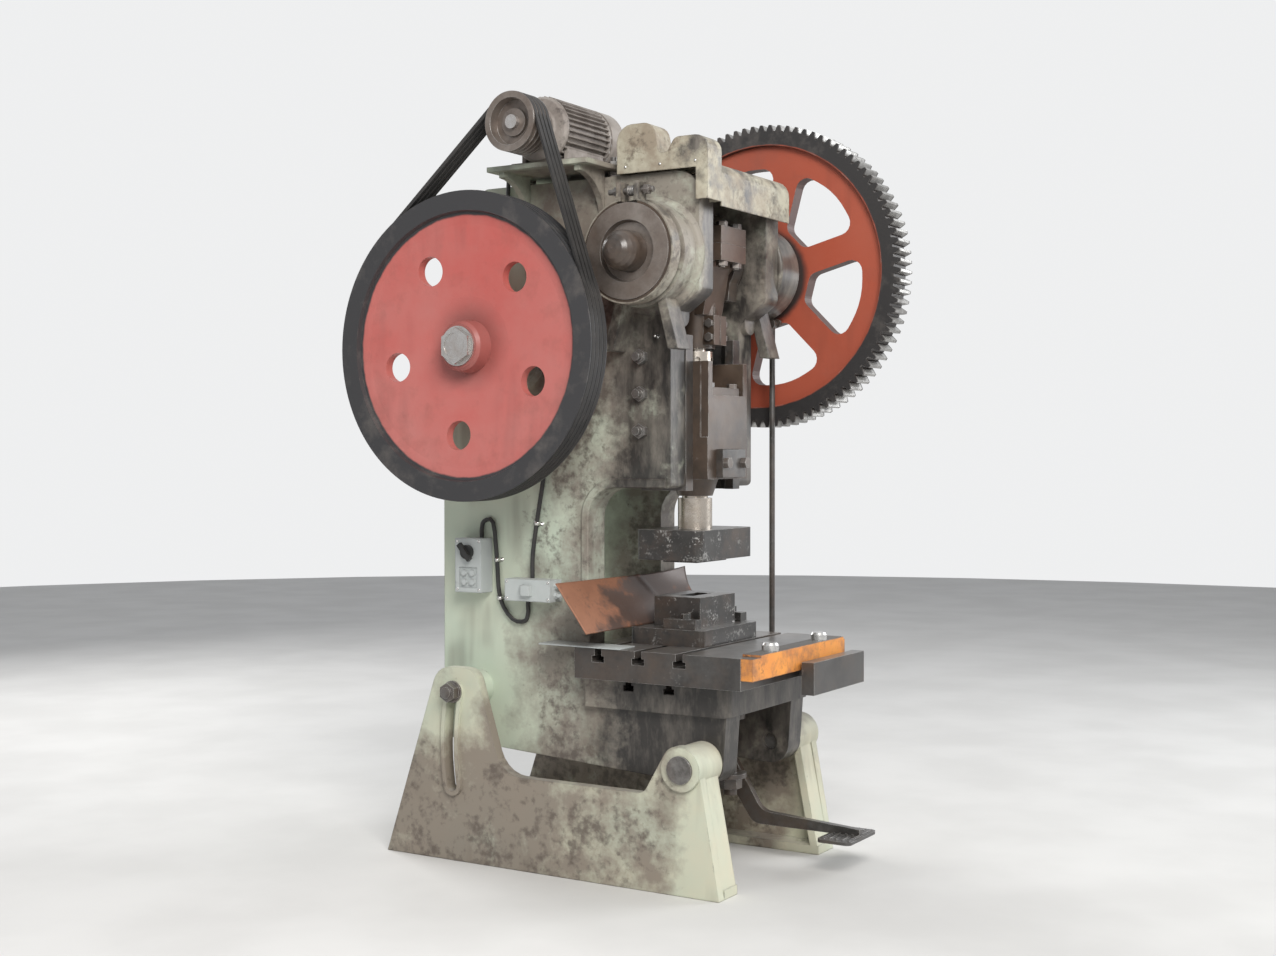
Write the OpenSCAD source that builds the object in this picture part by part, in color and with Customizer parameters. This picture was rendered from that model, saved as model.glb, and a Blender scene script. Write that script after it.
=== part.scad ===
// Open-back inclinable C-frame stamping press with one crank, geared drive and band brake.
// X runs from the flywheel side (-) to the gear side (+), Y from the front (-) to the back (+), Z up.
// The origin is the centre of the foundation bolt pattern, on the floor.

/* [Base] */
// Width over both legs
base_w = 900; // [860:5:1000]
// Thickness of a leg's side plate
leg_t = 40; // [30:1:45]
// Width of the flange along the front of a leg
leg_flange_w = 130; // [90:5:140]
// Thickness of the front flange
leg_flange_t = 30; // [20:1:35]
// Distance of the front toe from the origin
toe_front = 690; // [670:5:760]
// Distance of the rear toe from the origin
toe_rear = 729; // [700:5:800]
// Height of the side beam between the legs
beam_h = 333; // [280:1:340]
// Distance of the tilt pivot in front of the origin
pivot_fwd = 547; // [530:1:560]
// Height of the tilt pivot
pivot_h = 429; // [410:1:450]
// Diameter of the tilt pivot pins
pivot_d = 60; // [40:1:80]
// Diameter of the bosses round the pivot pins
pivot_boss_d = 150; // [120:1:160]
// Radius of the arc slots about the tilt pivot
slot_r = 976; // [960:1:990]
// Angle of the clamping bolt above the pivot when upright
slot_rest_angle = 11.4; // [10:0.1:12]
// Greatest backward tilt of the frame
tilt_max = 20; // [10:1:20]
// Diameter of the clamping bolts in the arc slots
slot_bolt_d = 42; // [30:1:48]
// Thickness of the cross ties
tie_t = 40; // [25:1:50]
// Height of the front tie
tie_front_h = 190; // [120:5:200]
// Height of the rear tie
tie_rear_h = 140; // [100:5:145]
// Distance of the foundation holes from the base's side faces
anchor_inset = 78; // [70:1:84]
// Distance of the foundation holes from the centre, lengthways
anchor_y = 590; // [560:5:600]
// Diameter of the foundation holes
anchor_d = 32; // [20:1:40]
// Thickness of the foot flange
foot_t = 32; // [25:1:40]

/* [Frame] */
// Clear width between the two cheeks
cheek_gap = 400; // [390:2:410]
// Thickness of a cheek
cheek_t = 100; // [90:1:108]
// Height of the frame's top face above the crank axis
top_rise = 290; // [280:5:320]
// Distance of the back edge behind the origin
frame_back = 575; // [560:5:590]
// Distance of the throat's back wall behind the crank axis
throat_depth = 264; // [250:1:280]
// Height of the jaw's underside above the bed
jaw_rise = 670; // [650:5:690]
// Height of the bed's top face above the tilt pivots
bed_rise = 271; // [261:1:281]
// Thickness of the bed
bed_t = 110; // [90:1:120]
// Width of the bed
bed_w = 660; // [640:5:700]
// Radius of the bed's front corners
bed_corner_r = 48; // [20:1:60]
// Radius of the lobe round the tilt pivot
lobe_r = 78; // [76:1:90]
// Thickness of the webs that join the cheeks
web_t = 45; // [30:1:60]
// Diameter of the hole through the bed
bed_hole_d = 240; // [150:5:260]

/* [Crank] */
// Height of the crank axis above the jaw
crank_rise = 810; // [800:5:850]
// Distance of the crank axis in front of the origin
crank_fwd = 344; // [340:1:350]
// Stroke of the slide
stroke = 120; // [100:1:120]
// Diameter of the main journals
journal_d = 150; // [140:1:156]
// Diameter of the crankpin
crankpin_d = 165; // [150:1:170]
// Width of the connecting rod's big end
big_end_w = 186; // [170:1:190]
// Thickness of each crank web
crank_web_t = 62; // [50:1:66]
// Outer diameter of the crank bushes
bush_d = 184; // [176:1:190]
// Diameter of the crank bearing bosses
crank_boss_d = 370; // [350:1:380]
// Face of the left crank boss from the middle plane
left_boss_x = 398; // [370:1:402]
// Face of the right crank boss from the middle plane
right_boss_x = 480; // [470:1:482]

/* [Gears] */
// Gear module
gear_module = 12; // [10:0.5:12]
// Number of teeth on the bull gear
bull_teeth = 96; // [90:1:98]
// Number of teeth on the pinion
pinion_teeth = 16; // [16:1:18]
// Angle of the line of centres below the horizontal
gear_line_angle = 27.6; // [25:0.1:30]
// Face width of the bull gear
gear_w = 115; // [90:1:120]
// Inner face of the bull gear from the middle plane
gear_x = 510; // [508:1:520]
// Number of spokes
spokes = 6; // [5:1:8]
// Width of a spoke
spoke_w = 104; // [80:1:120]
// Thickness of the bull gear's web
gear_web_t = 62; // [40:1:80]
// Diameter of the bull gear's hub
gear_hub_d = 300; // [260:5:320]

/* [Flywheel] */
// Pitch radius of the belts on the flywheel
fly_pitch_r = 542.5; // [520:0.5:550]
// Width of the flywheel's rim
fly_w = 101; // [92:1:105]
// Outer face of the rim from the middle plane
fly_x = 620; // [615:1:630]
// Radial depth of the rim
fly_rim_depth = 76; // [50:1:90]
// Diameter of the flywheel's hub
fly_hub_d = 176; // [160:1:200]
// Thickness of the flywheel's web
fly_web_t = 34; // [25:1:45]
// Number of holes in the web
fly_holes = 5; // [3:1:6]
// Diameter of the holes in the web
fly_hole_d = 105; // [70:1:120]
// Radius at which the holes lie
fly_hole_r = 315; // [290:1:330]
// Number of belts
belts = 4; // [2:1:4]
// Spacing of the belts
belt_pitch = 23; // [21:0.5:24]
// Diameter of the intermediate shaft in its bearings
shaft_d = 120; // [100:1:130]
// Diameter of the bosses round the shaft bearings
shaft_boss_d = 270; // [250:1:290]

/* [Motor] */
// Pitch radius of the belts on the motor pulley
pulley_pitch_r = 100; // [80:1:110]
// Height of the motor plate's underside above the frame's top
plate_rise = 25; // [25:1:60]
// Clearance between the motor's body and its plate
motor_lift = 2; // [2:1:20]
// Distance of the motor axis behind the origin
motor_back = 40; // [20:1:60]
// Diameter of the motor's body over its fins
motor_d = 240; // [230:1:260]
// Length of the finned body
motor_len = 330; // [280:5:360]
// Diameter of the motor's shaft
motor_shaft_d = 48; // [38:1:55]
// Number of cooling fins
motor_fins = 36; // [24:1:40]
// Thickness of the motor plate
motor_plate_t = 18; // [12:1:25]

/* [Slide] */
// Width of the slide's front
slide_w = 300; // [280:2:310]
// Depth of the slide from front to back
slide_depth = 250; // [240:2:260]
// Height of the ball's centre above the slide's underside
ball_rise = 222; // [218:1:226]
// Height of the slide's body
slide_body_h = 300; // [290:1:310]
// Height of the ears above the slide's body
slide_ear_h = 120; // [80:1:140]
// Projection of the guide ridges
ridge = 34; // [20:1:40]
// Length of the gibs
gib_len = 550; // [500:5:560]
// Diameter of the ball on the adjusting screw
ball_d = 120; // [100:1:124]
// Distance from the crankpin to the ball's centre
rod_len = 618; // [600:1:640]
// Diameter of the adjusting screw
screw_d = 80; // [70:1:84]
// Diameter of the shank that holds the upper die
shank_d = 95; // [60:1:100]
// Diameter of the bright sleeve round the shank
sleeve_d = 125; // [115:1:140]

/* [Table and tools] */
// Width of the bolster
bolster_w = 800; // [740:5:820]
// Thickness of the bolster
bolster_t = 110; // [90:1:115]
// Overhang of the bolster in front of the crank axis
bolster_fwd = 400; // [390:1:410]
// Spacing of the bolster's slots
slot_pitch = 164; // [150:1:170]
// Width of the neck of the bolster's slots
table_slot_w = 28; // [22:1:30]
// Width of the neck of the bed's slots
bed_slot_w = 24; // [18:1:26]
// Width of the upper plate
upper_die_w = 400; // [300:5:420]
// Depth of the upper plate
upper_die_depth = 270; // [200:5:280]
// Distance of the upper plate's underside below the slide
upper_die_drop = 288; // [270:1:290]
// Thickness of the upper plate
upper_die_t = 108; // [80:1:110]
// Width of the lower die shoe
shoe_w = 420; // [380:5:440]
// Depth of the lower die shoe
shoe_depth = 300; // [280:5:310]
// Thickness of the lower die shoe
shoe_t = 60; // [40:1:62]
// Thickness of the chute sheet
chute_t = 4; // [2:0.5:6]
// Width of the chute sheet
chute_w = 850; // [700:10:860]
// Length of the front bar
front_bar_w = 730; // [600:10:760]

/* [Clutch and brake] */
// Radius of the rotating key
key_r = 24; // [20:0.5:26]
// Outer diameter of the brake drum
drum_d = 330; // [300:1:340]
// Width of the brake drum
drum_w = 62; // [50:1:64]
// Thickness of the brake lining
lining_t = 8; // [5:0.5:10]
// Thickness of the steel brake band
band_t = 6; // [4:0.5:8]
// Travel of the pedal
pedal_travel = 8; // [5:1:8]
// Diameter of the pull rod
pull_rod_d = 22; // [16:1:24]

/* [Electrical] */
// Height of the switch box
switch_box_h = 200; // [160:5:240]
// Width of the switch box
switch_box_w = 120; // [100:5:140]
// Depth of the switch box
switch_box_depth = 70; // [50:1:90]
// Length of the control box
control_box_w = 200; // [180:5:220]
// Height of the control box
control_box_h = 80; // [70:1:90]
// Diameter of the held cables
cable_d = 16; // [10:1:18]

/* [Guard] */
// Thickness of the crank guard's sheet
guard_t = 4; // [3:0.5:6]
// Height of the guard's tall side part
guard_tall = 170; // [150:5:190]

/* [Hidden] */
$fn = 72;
run_fit = 0.05;
slide_fit = 0.3;
bolt_gap = 0.5;
leg_out = base_w / 2;
leg_in = leg_out - leg_t;
anchor_x = leg_out - anchor_inset;
bed_h = pivot_h + bed_rise;
jaw_h = bed_h + jaw_rise;
crank_h = jaw_h + crank_rise;
frame_top = crank_h + top_rise;
foot_h = frame_top + plate_rise + motor_plate_t;
motor_r = motor_d / 2;
motor_h = foot_h + motor_r + motor_lift;
cheek_in = cheek_gap / 2;
cheek_out = cheek_in + cheek_t;
lobe_face = cheek_out + slide_fit;
crank_y = -crank_fwd;
throw = stroke / 2;
journal_r = journal_d / 2;
throat_y = crank_y + throat_depth;
head_front = crank_y - crank_boss_d / 2;
centre_distance = gear_module * (bull_teeth + pinion_teeth) / 2;
shaft_y = crank_y + centre_distance * cos(gear_line_angle);
shaft_h = crank_h - centre_distance * sin(gear_line_angle);
shaft_boss_x = 480;
gear_mid = gear_x + gear_w / 2;
fly_rim_r = fly_pitch_r + 3.5;
fly_mid = -(fly_x - fly_w / 2);
slide_front = crank_y - 136;
gib_bolt_y = crank_y + 44;
gib_bolt_z = [for (h = [200, 330, 460]) jaw_h + h];
pad_h = crank_h - 145;
slide_back = slide_front + slide_depth;
pin_h = crank_h + throw;
ball_h = pin_h - rod_len;
slide_bottom = ball_h - ball_rise;
slide_top = slide_bottom + slide_body_h;
upper_die_bottom = slide_bottom - upper_die_drop;
neck_h = 44;
nut_h = 56;
collar_h = 60;
collar_d = 130;
rod_bottom = slide_top + neck_h + nut_h + collar_h + 10;
ridge_y = crank_y + 14;
gib_bottom = jaw_h - 10;
gib_front = slide_front + 60;
bolster_top = bed_h + bolster_t;
bolster_front = crank_y - bolster_fwd;
bolster_back = throat_y - 2;
shoe_top = bolster_top + shoe_t;
pitch_gap = 0.35;
key_y = crank_y;
key_offset = journal_r - 9;
key_x = gear_x - 26;
key_end_x = gear_x + gear_w + 12;
pull_y = crank_y - 76;
pull_x = 470;
link_x = pull_x + pull_rod_d / 2 + 3;
pedal_y = pull_y + 120;
pedal_h = bed_h - 200;
latch_y = pull_y + 120;
latch_h = crank_h - 150;
link_t = 14;
link_pin_d = 16;
pull_top = latch_h - 30;
drum_x = left_boss_x + 15;
switch_y = 410;
switch_h = bed_h + 278;
control_y = 140;
control_h = bed_h + 257;
guard_front = head_front - 50;
guard_back = -215;
body_green = [0.60, 0.66, 0.58];
dark_steel = [0.22, 0.21, 0.20];
bright_steel = [0.75, 0.74, 0.72];
grease = [0.16, 0.14, 0.13];
cream = [0.80, 0.77, 0.64];
wheel_red = [0.72, 0.24, 0.18];
bronze = [0.65, 0.48, 0.24];
box_grey = [0.62, 0.64, 0.64];

// Signed angle brought into the range from -180 to 180
function wrap(a) = a > 180 ? a - 360 : a < -180 ? a + 360 : a;
function angle_of(v) = atan2(v.y, v.x);
// Points of an arc about c
function arc(c, r, from, to, n = 8) =
    [for (i = [0:n]) let (a = from + (to - from) * i / n) c + r * [cos(a), sin(a)]];
// One corner b between a and c, rounded to radius r
function corner(a, b, c, r, n) =
    r == 0 ? [b] :
    let (u = (a - b) / norm(a - b), v = (c - b) / norm(c - b), half = acos(u * v) / 2)
    let (m = b + (u + v) / norm(u + v) * r / sin(half), s = b + u * r / tan(half), e = b + v * r / tan(half))
    let (from = angle_of(s - m), sweep = wrap(angle_of(e - m) - from))
    arc(m, r, from, from + sweep, n);
// A closed outline with every corner rounded to its own radius
function rounded(p, r, n = 5) =
    [for (i = [0:len(p) - 1]) each corner(p[(i + len(p) - 1) % len(p)], p[i], p[(i + 1) % len(p)], r[i], n)];
// Involute of a base circle: the angle it has turned by at radius r
function involute(base, r) = let (t = acos(min(1, base / r))) tan(t) * 180 / PI - t;
// One tooth flank of a gear, from root to tip, as [radius, half angle] pairs
function flank(m, z, tip) =
    let (pitch = m * z / 2, base = pitch * cos(20), root = pitch - 1.25 * m)
    let (half = 90 / z - pitch_gap / pitch * 90 / PI + involute(base, pitch))
    let (low = max(root, base))
    [for (i = [0:5]) let (r = low + (tip - low) * i / 5) [r, half - involute(base, r)]];
// One tooth from side to side, as [radius, angle] pairs, with radial feet below the base circle
function tooth(m, z, tip) =
    let (f = flank(m, z, tip), root = m * z / 2 - 1.25 * m)
    let (side = root < f[0][0] ? concat([[root, f[0][1]]], f) : f)
    concat([for (q = side) [q[0], -q[1]]], [for (i = [len(side) - 1:-1:0]) side[i]]);
// Outline of a spur gear with z teeth, the first one centred on the angle turn
function gear_outline(m, z, tip, turn) =
    [for (k = [0:z - 1]) for (q = tooth(m, z, tip))
        let (a = turn + 360 * k / z + q[1]) q[0] * [cos(a), sin(a)]];
// A point between b and c on a smooth curve through a, b, c and d
function spline(a, b, c, d, t) = 0.5 * (2 * b + (c - a) * t + (2 * a - 5 * b + 4 * c - d) * t * t
    + (3 * b - a - 3 * c + d) * t * t * t);
function smooth(p, n) = concat([for (i = [0:len(p) - 2]) for (k = [0:n - 1])
    spline(p[max(i - 1, 0)], p[i], p[i + 1], p[min(i + 2, len(p) - 1)], k / n)], [p[len(p) - 1]]);
function unit(v) = v / norm(v);

// Stands a (y, z) outline up and gives it thickness from x0 to x1
module along_x(x0, x1) {
    translate([x0, 0, 0]) rotate([90, 0, 90]) linear_extrude(x1 - x0) children();
}
// Turns an (r, x) profile about the line through y and z
module turned_x(y, z) {
    translate([0, y, z]) rotate([90, 0, 90]) rotate_extrude() children();
}
module rod_x(x0, x1, y, z, d) {
    translate([x0, y, z]) rotate([0, 90, 0]) cylinder(h = x1 - x0, d = d);
}
module ring_x(x0, x1, y, z, d_out, d_in) {
    turned_x(y, z) polygon([[d_in / 2, x0], [d_out / 2, x0], [d_out / 2, x1], [d_in / 2, x1]]);
}
// Part of a ring about a line along X, swept from one angle over another
module ring_sector(x0, x1, y, z, r0, r1, from, sweep) {
    translate([0, y, z]) rotate([90, 0, 90]) rotate([0, 0, from]) rotate_extrude(angle = sweep)
        polygon([[r0, x0], [r1, x0], [r1, x1], [r0, x1]]);
}
module box(from, to) {
    translate(from) cube(to - from);
}
module left_and_right() {
    children();
    mirror([1, 0, 0]) children();
}
// Hexagon head or nut along +Z, with its seat at the origin
module hex(across, h) {
    cylinder(h = h, d = across / cos(30), $fn = 6);
}
// Bolt along +Z, its head above the origin and its shank below
module bolt(d, reach, across, head_h) {
    hex(across, head_h);
    translate([0, 0, -reach]) cylinder(h = reach + 1, d = d);
}
// Tube swept along points that run mostly across the X axis
module cable(points, d, sides = 8) {
    n = len(points);
    rings = [for (i = [0:n - 1]) let (t = unit(points[min(i + 1, n - 1)] - points[max(i - 1, 0)]))
        let (v = unit(cross(t, [1, 0, 0])), u = cross(v, t))
        [for (k = [0:sides - 1]) points[i] + d / 2 * (u * cos(360 * k / sides) + v * sin(360 * k / sides))]];
    polyhedron(points = [for (r = rings) each r], faces = concat(
        [[for (k = [0:sides - 1]) k]],
        [for (i = [0:n - 2]) for (k = [0:sides - 1]) let (a = i * sides + k, b = i * sides + (k + 1) % sides)
            each [[a, a + sides, b + sides], [a, b + sides, b]]],
        [[for (k = [sides - 1:-1:0]) (n - 1) * sides + k]]));
}

slot_c = [-pivot_fwd, pivot_h];
function slot_point(a) = slot_c + slot_r * [cos(a), sin(a)];
clamp_at = slot_point(slot_rest_angle);
slot_low = slot_rest_angle - tilt_max - 0.3;
slot_width = slot_bolt_d + 2;
slot_rim_h = 12;
front_lean = 86 / 450;
// Curved slot of width w round the tilt pivot
function slot_outline(w) = concat(
    arc(slot_c, slot_r + w / 2, slot_low, slot_rest_angle, 24),
    arc(slot_point(slot_rest_angle), w / 2, slot_rest_angle + 18, slot_rest_angle + 162, 8),
    arc(slot_c, slot_r - w / 2, slot_rest_angle, slot_low, 24),
    arc(slot_point(slot_low), w / 2, slot_low + 198, slot_low + 342, 8));

// Side outline of one leg plate: front post, low beam and rear arm
module leg_outline() {
    top = clamp_at + [0, 88];
    polygon(rounded([[-toe_front, 0], [-pivot_fwd - 62, pivot_h + 20], [-pivot_fwd - 40, pivot_h + 76],
        [-pivot_fwd + 50, pivot_h + 76], [-pivot_fwd + 150, beam_h], [200, beam_h], [clamp_at.x - 90, top.y],
        [clamp_at.x + 80, top.y], [toe_rear, 0]], [0, 60, 50, 60, 40, 120, 60, 80, 0]));
}
module leg() {
    difference() {
        union() {
            along_x(leg_in, leg_out) leg_outline();
            rod_x(lobe_face, leg_out + 12, -pivot_fwd, pivot_h, pivot_boss_d);
            along_x(leg_out - leg_flange_w, leg_in + 1) polygon([[-toe_front, 0],
                [-toe_front + front_lean * 470, 470], [-toe_front + front_lean * 470 + leg_flange_t, 470],
                [-toe_front + leg_flange_t, 0]]);
            box([leg_out - leg_flange_w, -toe_front, 0], [leg_in + 1, toe_rear, foot_t]);
            along_x(leg_out - 1, leg_out + slot_rim_h) polygon(slot_outline(slot_width + 36));
        }
        rod_x(lobe_face - 1, leg_out + 13, -pivot_fwd, pivot_h, pivot_d + 2 * run_fit);
        along_x(leg_in - 1, leg_out + slot_rim_h + 1) polygon(slot_outline(slot_width));
        for (y = [-anchor_y, anchor_y])
            translate([anchor_x, y, -1]) cylinder(h = foot_t + 2, d = anchor_d);
    }
}
module base_casting() {
    tie_front_y = -200;
    tie_rear_y = toe_rear - 89;
    color(cream) {
        left_and_right() leg();
        box([-leg_in - 1, tie_front_y, 0], [leg_in + 1, tie_front_y + tie_t, tie_front_h]);
        box([-leg_in - 1, tie_rear_y, 0], [leg_in + 1, tie_rear_y + tie_t, tie_rear_h]);
    }
}
module pivot_pins() {
    color(dark_steel) left_and_right() {
        rod_x(cheek_in + 20, leg_out + 13, -pivot_fwd, pivot_h, pivot_d);
        rod_x(leg_out + 12.2, leg_out + 20, -pivot_fwd, pivot_h, pivot_d + 36);
    }
}

// Side outline of a cheek: bed, throat, jaw, head and sloping underside
module cheek_outline() {
    polygon(rounded([[-pivot_fwd - 96, bed_h], [throat_y, bed_h], [throat_y, jaw_h], [gib_front + 4, jaw_h],
        [gib_front + 4, crank_h - 210], [head_front, crank_h - 130], [head_front, frame_top],
        [frame_back - 195, frame_top], [frame_back, frame_top - 220], [frame_back, bed_h - 280],
        [-pivot_fwd + 20, pivot_h - lobe_r], [-pivot_fwd - lobe_r, pivot_h]],
        [0, 0, 110, 20, 40, 40, 90, 30, 120, 60, 20, 30]));
    translate(slot_c) circle(r = lobe_r);
}
module crank_foot(side) {
    for (lean = [-1, 1])
        along_x(cheek_out - 1, left_boss_x - 14) polygon([[crank_y + lean * 60, crank_h - 130],
            [crank_y + lean * 88, crank_h - 110], [crank_y + lean * 150, crank_h - 330],
            [crank_y + lean * 110, crank_h - 330]]);
}
module frame_casting() {
    color(body_green) difference() {
        union() {
            left_and_right() along_x(cheek_in, cheek_out) cheek_outline();
            translate([0, 0, bed_h - bed_t]) linear_extrude(bed_t) polygon(rounded(
                [[-bed_w / 2, -pivot_fwd - 105], [bed_w / 2, -pivot_fwd - 105], [bed_w / 2, throat_y],
                [-bed_w / 2, throat_y]], [bed_corner_r, bed_corner_r, 0, 0], 8));
            box([-cheek_in - 1, throat_y - 1, bed_h - bed_t], [cheek_in + 1, frame_back - 75, bed_h - 40]);
            box([-cheek_in - 1, throat_y + 45 - web_t, jaw_h + 30],
                [cheek_in + 1, throat_y + 45, crank_h - 50]);
            box([-cheek_in - 1, frame_back - web_t, jaw_h + 150], [cheek_in + 1, frame_back, crank_h + 20]);
            box([-cheek_in - 1, plate_front - 15, frame_top - web_t],
                [cheek_in + 1, frame_back - 205, frame_top]);
            rod_x(-left_boss_x, -cheek_in, crank_y, crank_h, crank_boss_d);
            rod_x(cheek_in, right_boss_x, crank_y, crank_h, crank_boss_d);
            left_and_right() rod_x(cheek_in, shaft_boss_x, shaft_y, shaft_h, shaft_boss_d);
            left_and_right() rod_x(cheek_out - 1, leg_in - slide_fit, clamp_at.x, clamp_at.y, 130);
            mirror([1, 0, 0]) crank_foot();
            crank_foot();
            left_and_right() translate([cheek_in + cheek_t / 2, gib_front + 5, pad_h]) rotate([90, 0, 0])
                linear_extrude(24) {
                    circle(d = 84);
                    translate([-42, -60]) square([84, 120]);
                    translate([0, -60]) circle(d = 84);
                    translate([0, 60]) circle(d = 84);
                }
        }
        rod_x(-left_boss_x - 1, right_boss_x + 1, crank_y, crank_h, bush_d);
        left_and_right() rod_x(cheek_in - 1, shaft_boss_x + 1, shaft_y, shaft_h, shaft_d + 14);
        left_and_right() rod_x(shaft_boss_x - 75, shaft_boss_x + 1, shaft_y, shaft_h, shaft_d + 95);
        left_and_right() rod_x(cheek_in - 1, cheek_out + 1, -pivot_fwd, pivot_h, pivot_d + 2 * run_fit);
        left_and_right() rod_x(cheek_in + 30, leg_in, clamp_at.x, clamp_at.y, slot_bolt_d);
        rod_x(cheek_in - 1, cheek_out + 1, pedal_y, pedal_h, 40 + 2 * run_fit);
        translate([0, crank_y, bed_h - bed_t - 1]) cylinder(h = bed_t + 2, d = bed_hole_d);
        for (s = [-0.5, 0.5]) translate([0, crank_y + s * slot_pitch, bed_h]) t_slot(bed_w, bed_slot_w);
        rod_x(right_boss_x - 40, right_boss_x + 1, latch_y, latch_h, 20 + 2 * run_fit);
        left_and_right() for (z = gib_bolt_z) rod_x(cheek_in - 1, cheek_out + 1, gib_bolt_y, z, 31);
    }
}
// T-slot along X with a neck of width w, cut down from z = 0
module t_slot(len, w) {
    box([-len / 2 - 1, -w / 2, -w], [len / 2 + 1, w / 2, 1]);
    box([-len / 2 - 1, -0.88 * w, -1.75 * w], [len / 2 + 1, 0.88 * w, -0.95 * w]);
}
module slot_bolts() {
    color(dark_steel) left_and_right() {
        rod_x(cheek_in + 30, leg_out + 13, clamp_at.x, clamp_at.y, slot_bolt_d);
        ring_x(leg_out + 12.3, leg_out + 20, clamp_at.x, clamp_at.y, slot_bolt_d + 38, slot_bolt_d);
        translate([leg_out + 20, clamp_at.x, clamp_at.y]) rotate([0, 90, 0]) hex(62, 30);
        rod_x(leg_out + 10, leg_out + 58, clamp_at.x, clamp_at.y, slot_bolt_d);
    }
}
module bolster_plate() {
    color(dark_steel) difference() {
        box([-bolster_w / 2, bolster_front, bed_h], [bolster_w / 2, bolster_back, bolster_top]);
        for (i = [-1:1])
            translate([0, crank_y + i * slot_pitch, bolster_top]) t_slot(bolster_w, table_slot_w);
        translate([0, crank_y, bed_h - 1]) cylinder(h = bolster_t + 2, d = bed_hole_d - 80);
    }
}

// Half outline of the slide in plan, with its guide ridge
function ridge_points(x, gap) = [[x, ridge_y - ridge - 22 - gap], [x + ridge, ridge_y - 22 - gap * 0.42],
    [x + ridge, ridge_y + 22 + gap * 0.42], [x, ridge_y + ridge + 22 + gap]];
module gib() {
    color(dark_steel) translate([0, 0, gib_bottom]) linear_extrude(gib_len) polygon(concat(
        [[cheek_in, gib_front], [slide_w / 2 + slide_fit, gib_front]],
        [for (p = ridge_points(slide_w / 2, slide_fit)) p + [slide_fit, 0]],
        [[slide_w / 2 + slide_fit, slide_back - 6], [cheek_in, slide_back - 6]]));
}
module right_gib() { gib(); }
module left_gib() { mirror([1, 0, 0]) gib(); }
module gib_bolts() {
    color(dark_steel) left_and_right() for (z = gib_bolt_z) {
        rod_x(cheek_in, cheek_out + 46, gib_bolt_y, z, 30);
        translate([cheek_out, gib_bolt_y, z]) rotate([0, 90, 0]) hex(46, 24);
    }
}

module crank_bushes() {
    color(bronze) {
        ring_x(-left_boss_x, -cheek_in, crank_y, crank_h, bush_d, journal_d + 2 * run_fit);
        ring_x(cheek_in, right_boss_x, crank_y, crank_h, bush_d, journal_d + 2 * run_fit);
    }
}
crank_web_x = big_end_w / 2 + 1.5;
crank_nose_r = 70;
module crankshaft() {
    color(dark_steel) difference() {
        union() {
            rod_x(-left_boss_x - 4, -crank_web_x - 1, crank_y, crank_h, journal_d);
            rod_x(crank_web_x + 1, key_end_x - 4, crank_y, crank_h, journal_d);
            rod_x(-crank_web_x - 1, crank_web_x + 1, crank_y, crank_h + throw, crankpin_d);
            left_and_right() along_x(crank_web_x, crank_web_x + crank_web_t) {
                translate([crank_y, crank_h]) circle(r = 112);
                translate([crank_y, crank_h + throw]) circle(r = 100);
                polygon([[crank_y - 110, crank_h - 20], [crank_y + 110, crank_h - 20],
                    [crank_y + 98, crank_h + throw + 20], [crank_y - 98, crank_h + throw + 20]]);
                polygon([[crank_y - 84, crank_h - 130], [crank_y + 84, crank_h - 130],
                    [crank_y + 100, crank_h], [crank_y - 100, crank_h]]);
            }
            left_and_right() rod_x(crank_web_x + crank_web_t, cheek_in - 1, crank_y, crank_h, journal_d + 36);
            rod_x(-drum_x - drum_w - 24, -left_boss_x, crank_y, crank_h, 2 * crank_nose_r);
            turned_x(crank_y, crank_h) polygon(concat([[0, -drum_x - drum_w - 23]],
                arc([0, -drum_x - drum_w - 24], crank_nose_r, 0, -90, 6)));
        }
        rod_x(key_x, key_end_x + 1, key_y, crank_h - key_offset, 2 * key_r + 0.2);
    }
}
module brake_drum() {
    color(dark_steel) turned_x(crank_y, crank_h) polygon([[crank_nose_r, -drum_x - 40],
        [100, -drum_x - 40], [106, -drum_x - drum_w], [drum_d / 2, -drum_x - drum_w],
        [drum_d / 2, -drum_x], [crank_nose_r, -drum_x]]);
}
lining_r = drum_d / 2 + slide_fit;
band_r = lining_r + lining_t;
brake_gap = 14;
module brake_lining() {
    color(grease) ring_sector(-drum_x - drum_w + 4, -drum_x - 4, crank_y, crank_h, lining_r, band_r,
        90 + brake_gap, 360 - 2 * brake_gap);
}
lug_y = (band_r + band_t) * sin(brake_gap);
lug_z = crank_h + (band_r + band_t) * cos(brake_gap);
module brake_band() {
    color(body_green) {
        ring_sector(-drum_x - drum_w + 4, -drum_x - 4, crank_y, crank_h, band_r + slide_fit, band_r + band_t,
            90 + brake_gap - 2, 360 - 2 * (brake_gap - 2));
        for (s = [-1, 1]) difference() {
            box([-drum_x - drum_w + 4, crank_y + s * (lug_y - 8) - 9, lug_z - 4],
                [-drum_x - 4, crank_y + s * (lug_y - 8) + 9, lug_z + 62]);
            translate([-drum_x - drum_w / 2, crank_y + s * (lug_y - 8) - 20, lug_z + 34]) rotate([-90, 0, 0])
                cylinder(h = 40, d = 21);
        }
    }
}
module brake_bolt() {
    color(dark_steel) translate([-drum_x - drum_w / 2, crank_y - lug_y - 46, lug_z + 34])
        rotate([-90, 0, 0]) {
        cylinder(h = 2 * lug_y + 90, d = 20);
        translate([0, 0, 15.5]) hex(30, 18);
        translate([0, 0, 2 * lug_y + 48]) hex(30, 18);
        for (i = [0:3]) translate([0, 0, 68 + i * 9]) rotate_extrude() translate([14, 0]) circle(d = 8.9);
        translate([0, 0, 60]) cylinder(h = 44, d = 21);
    }
}

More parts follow.
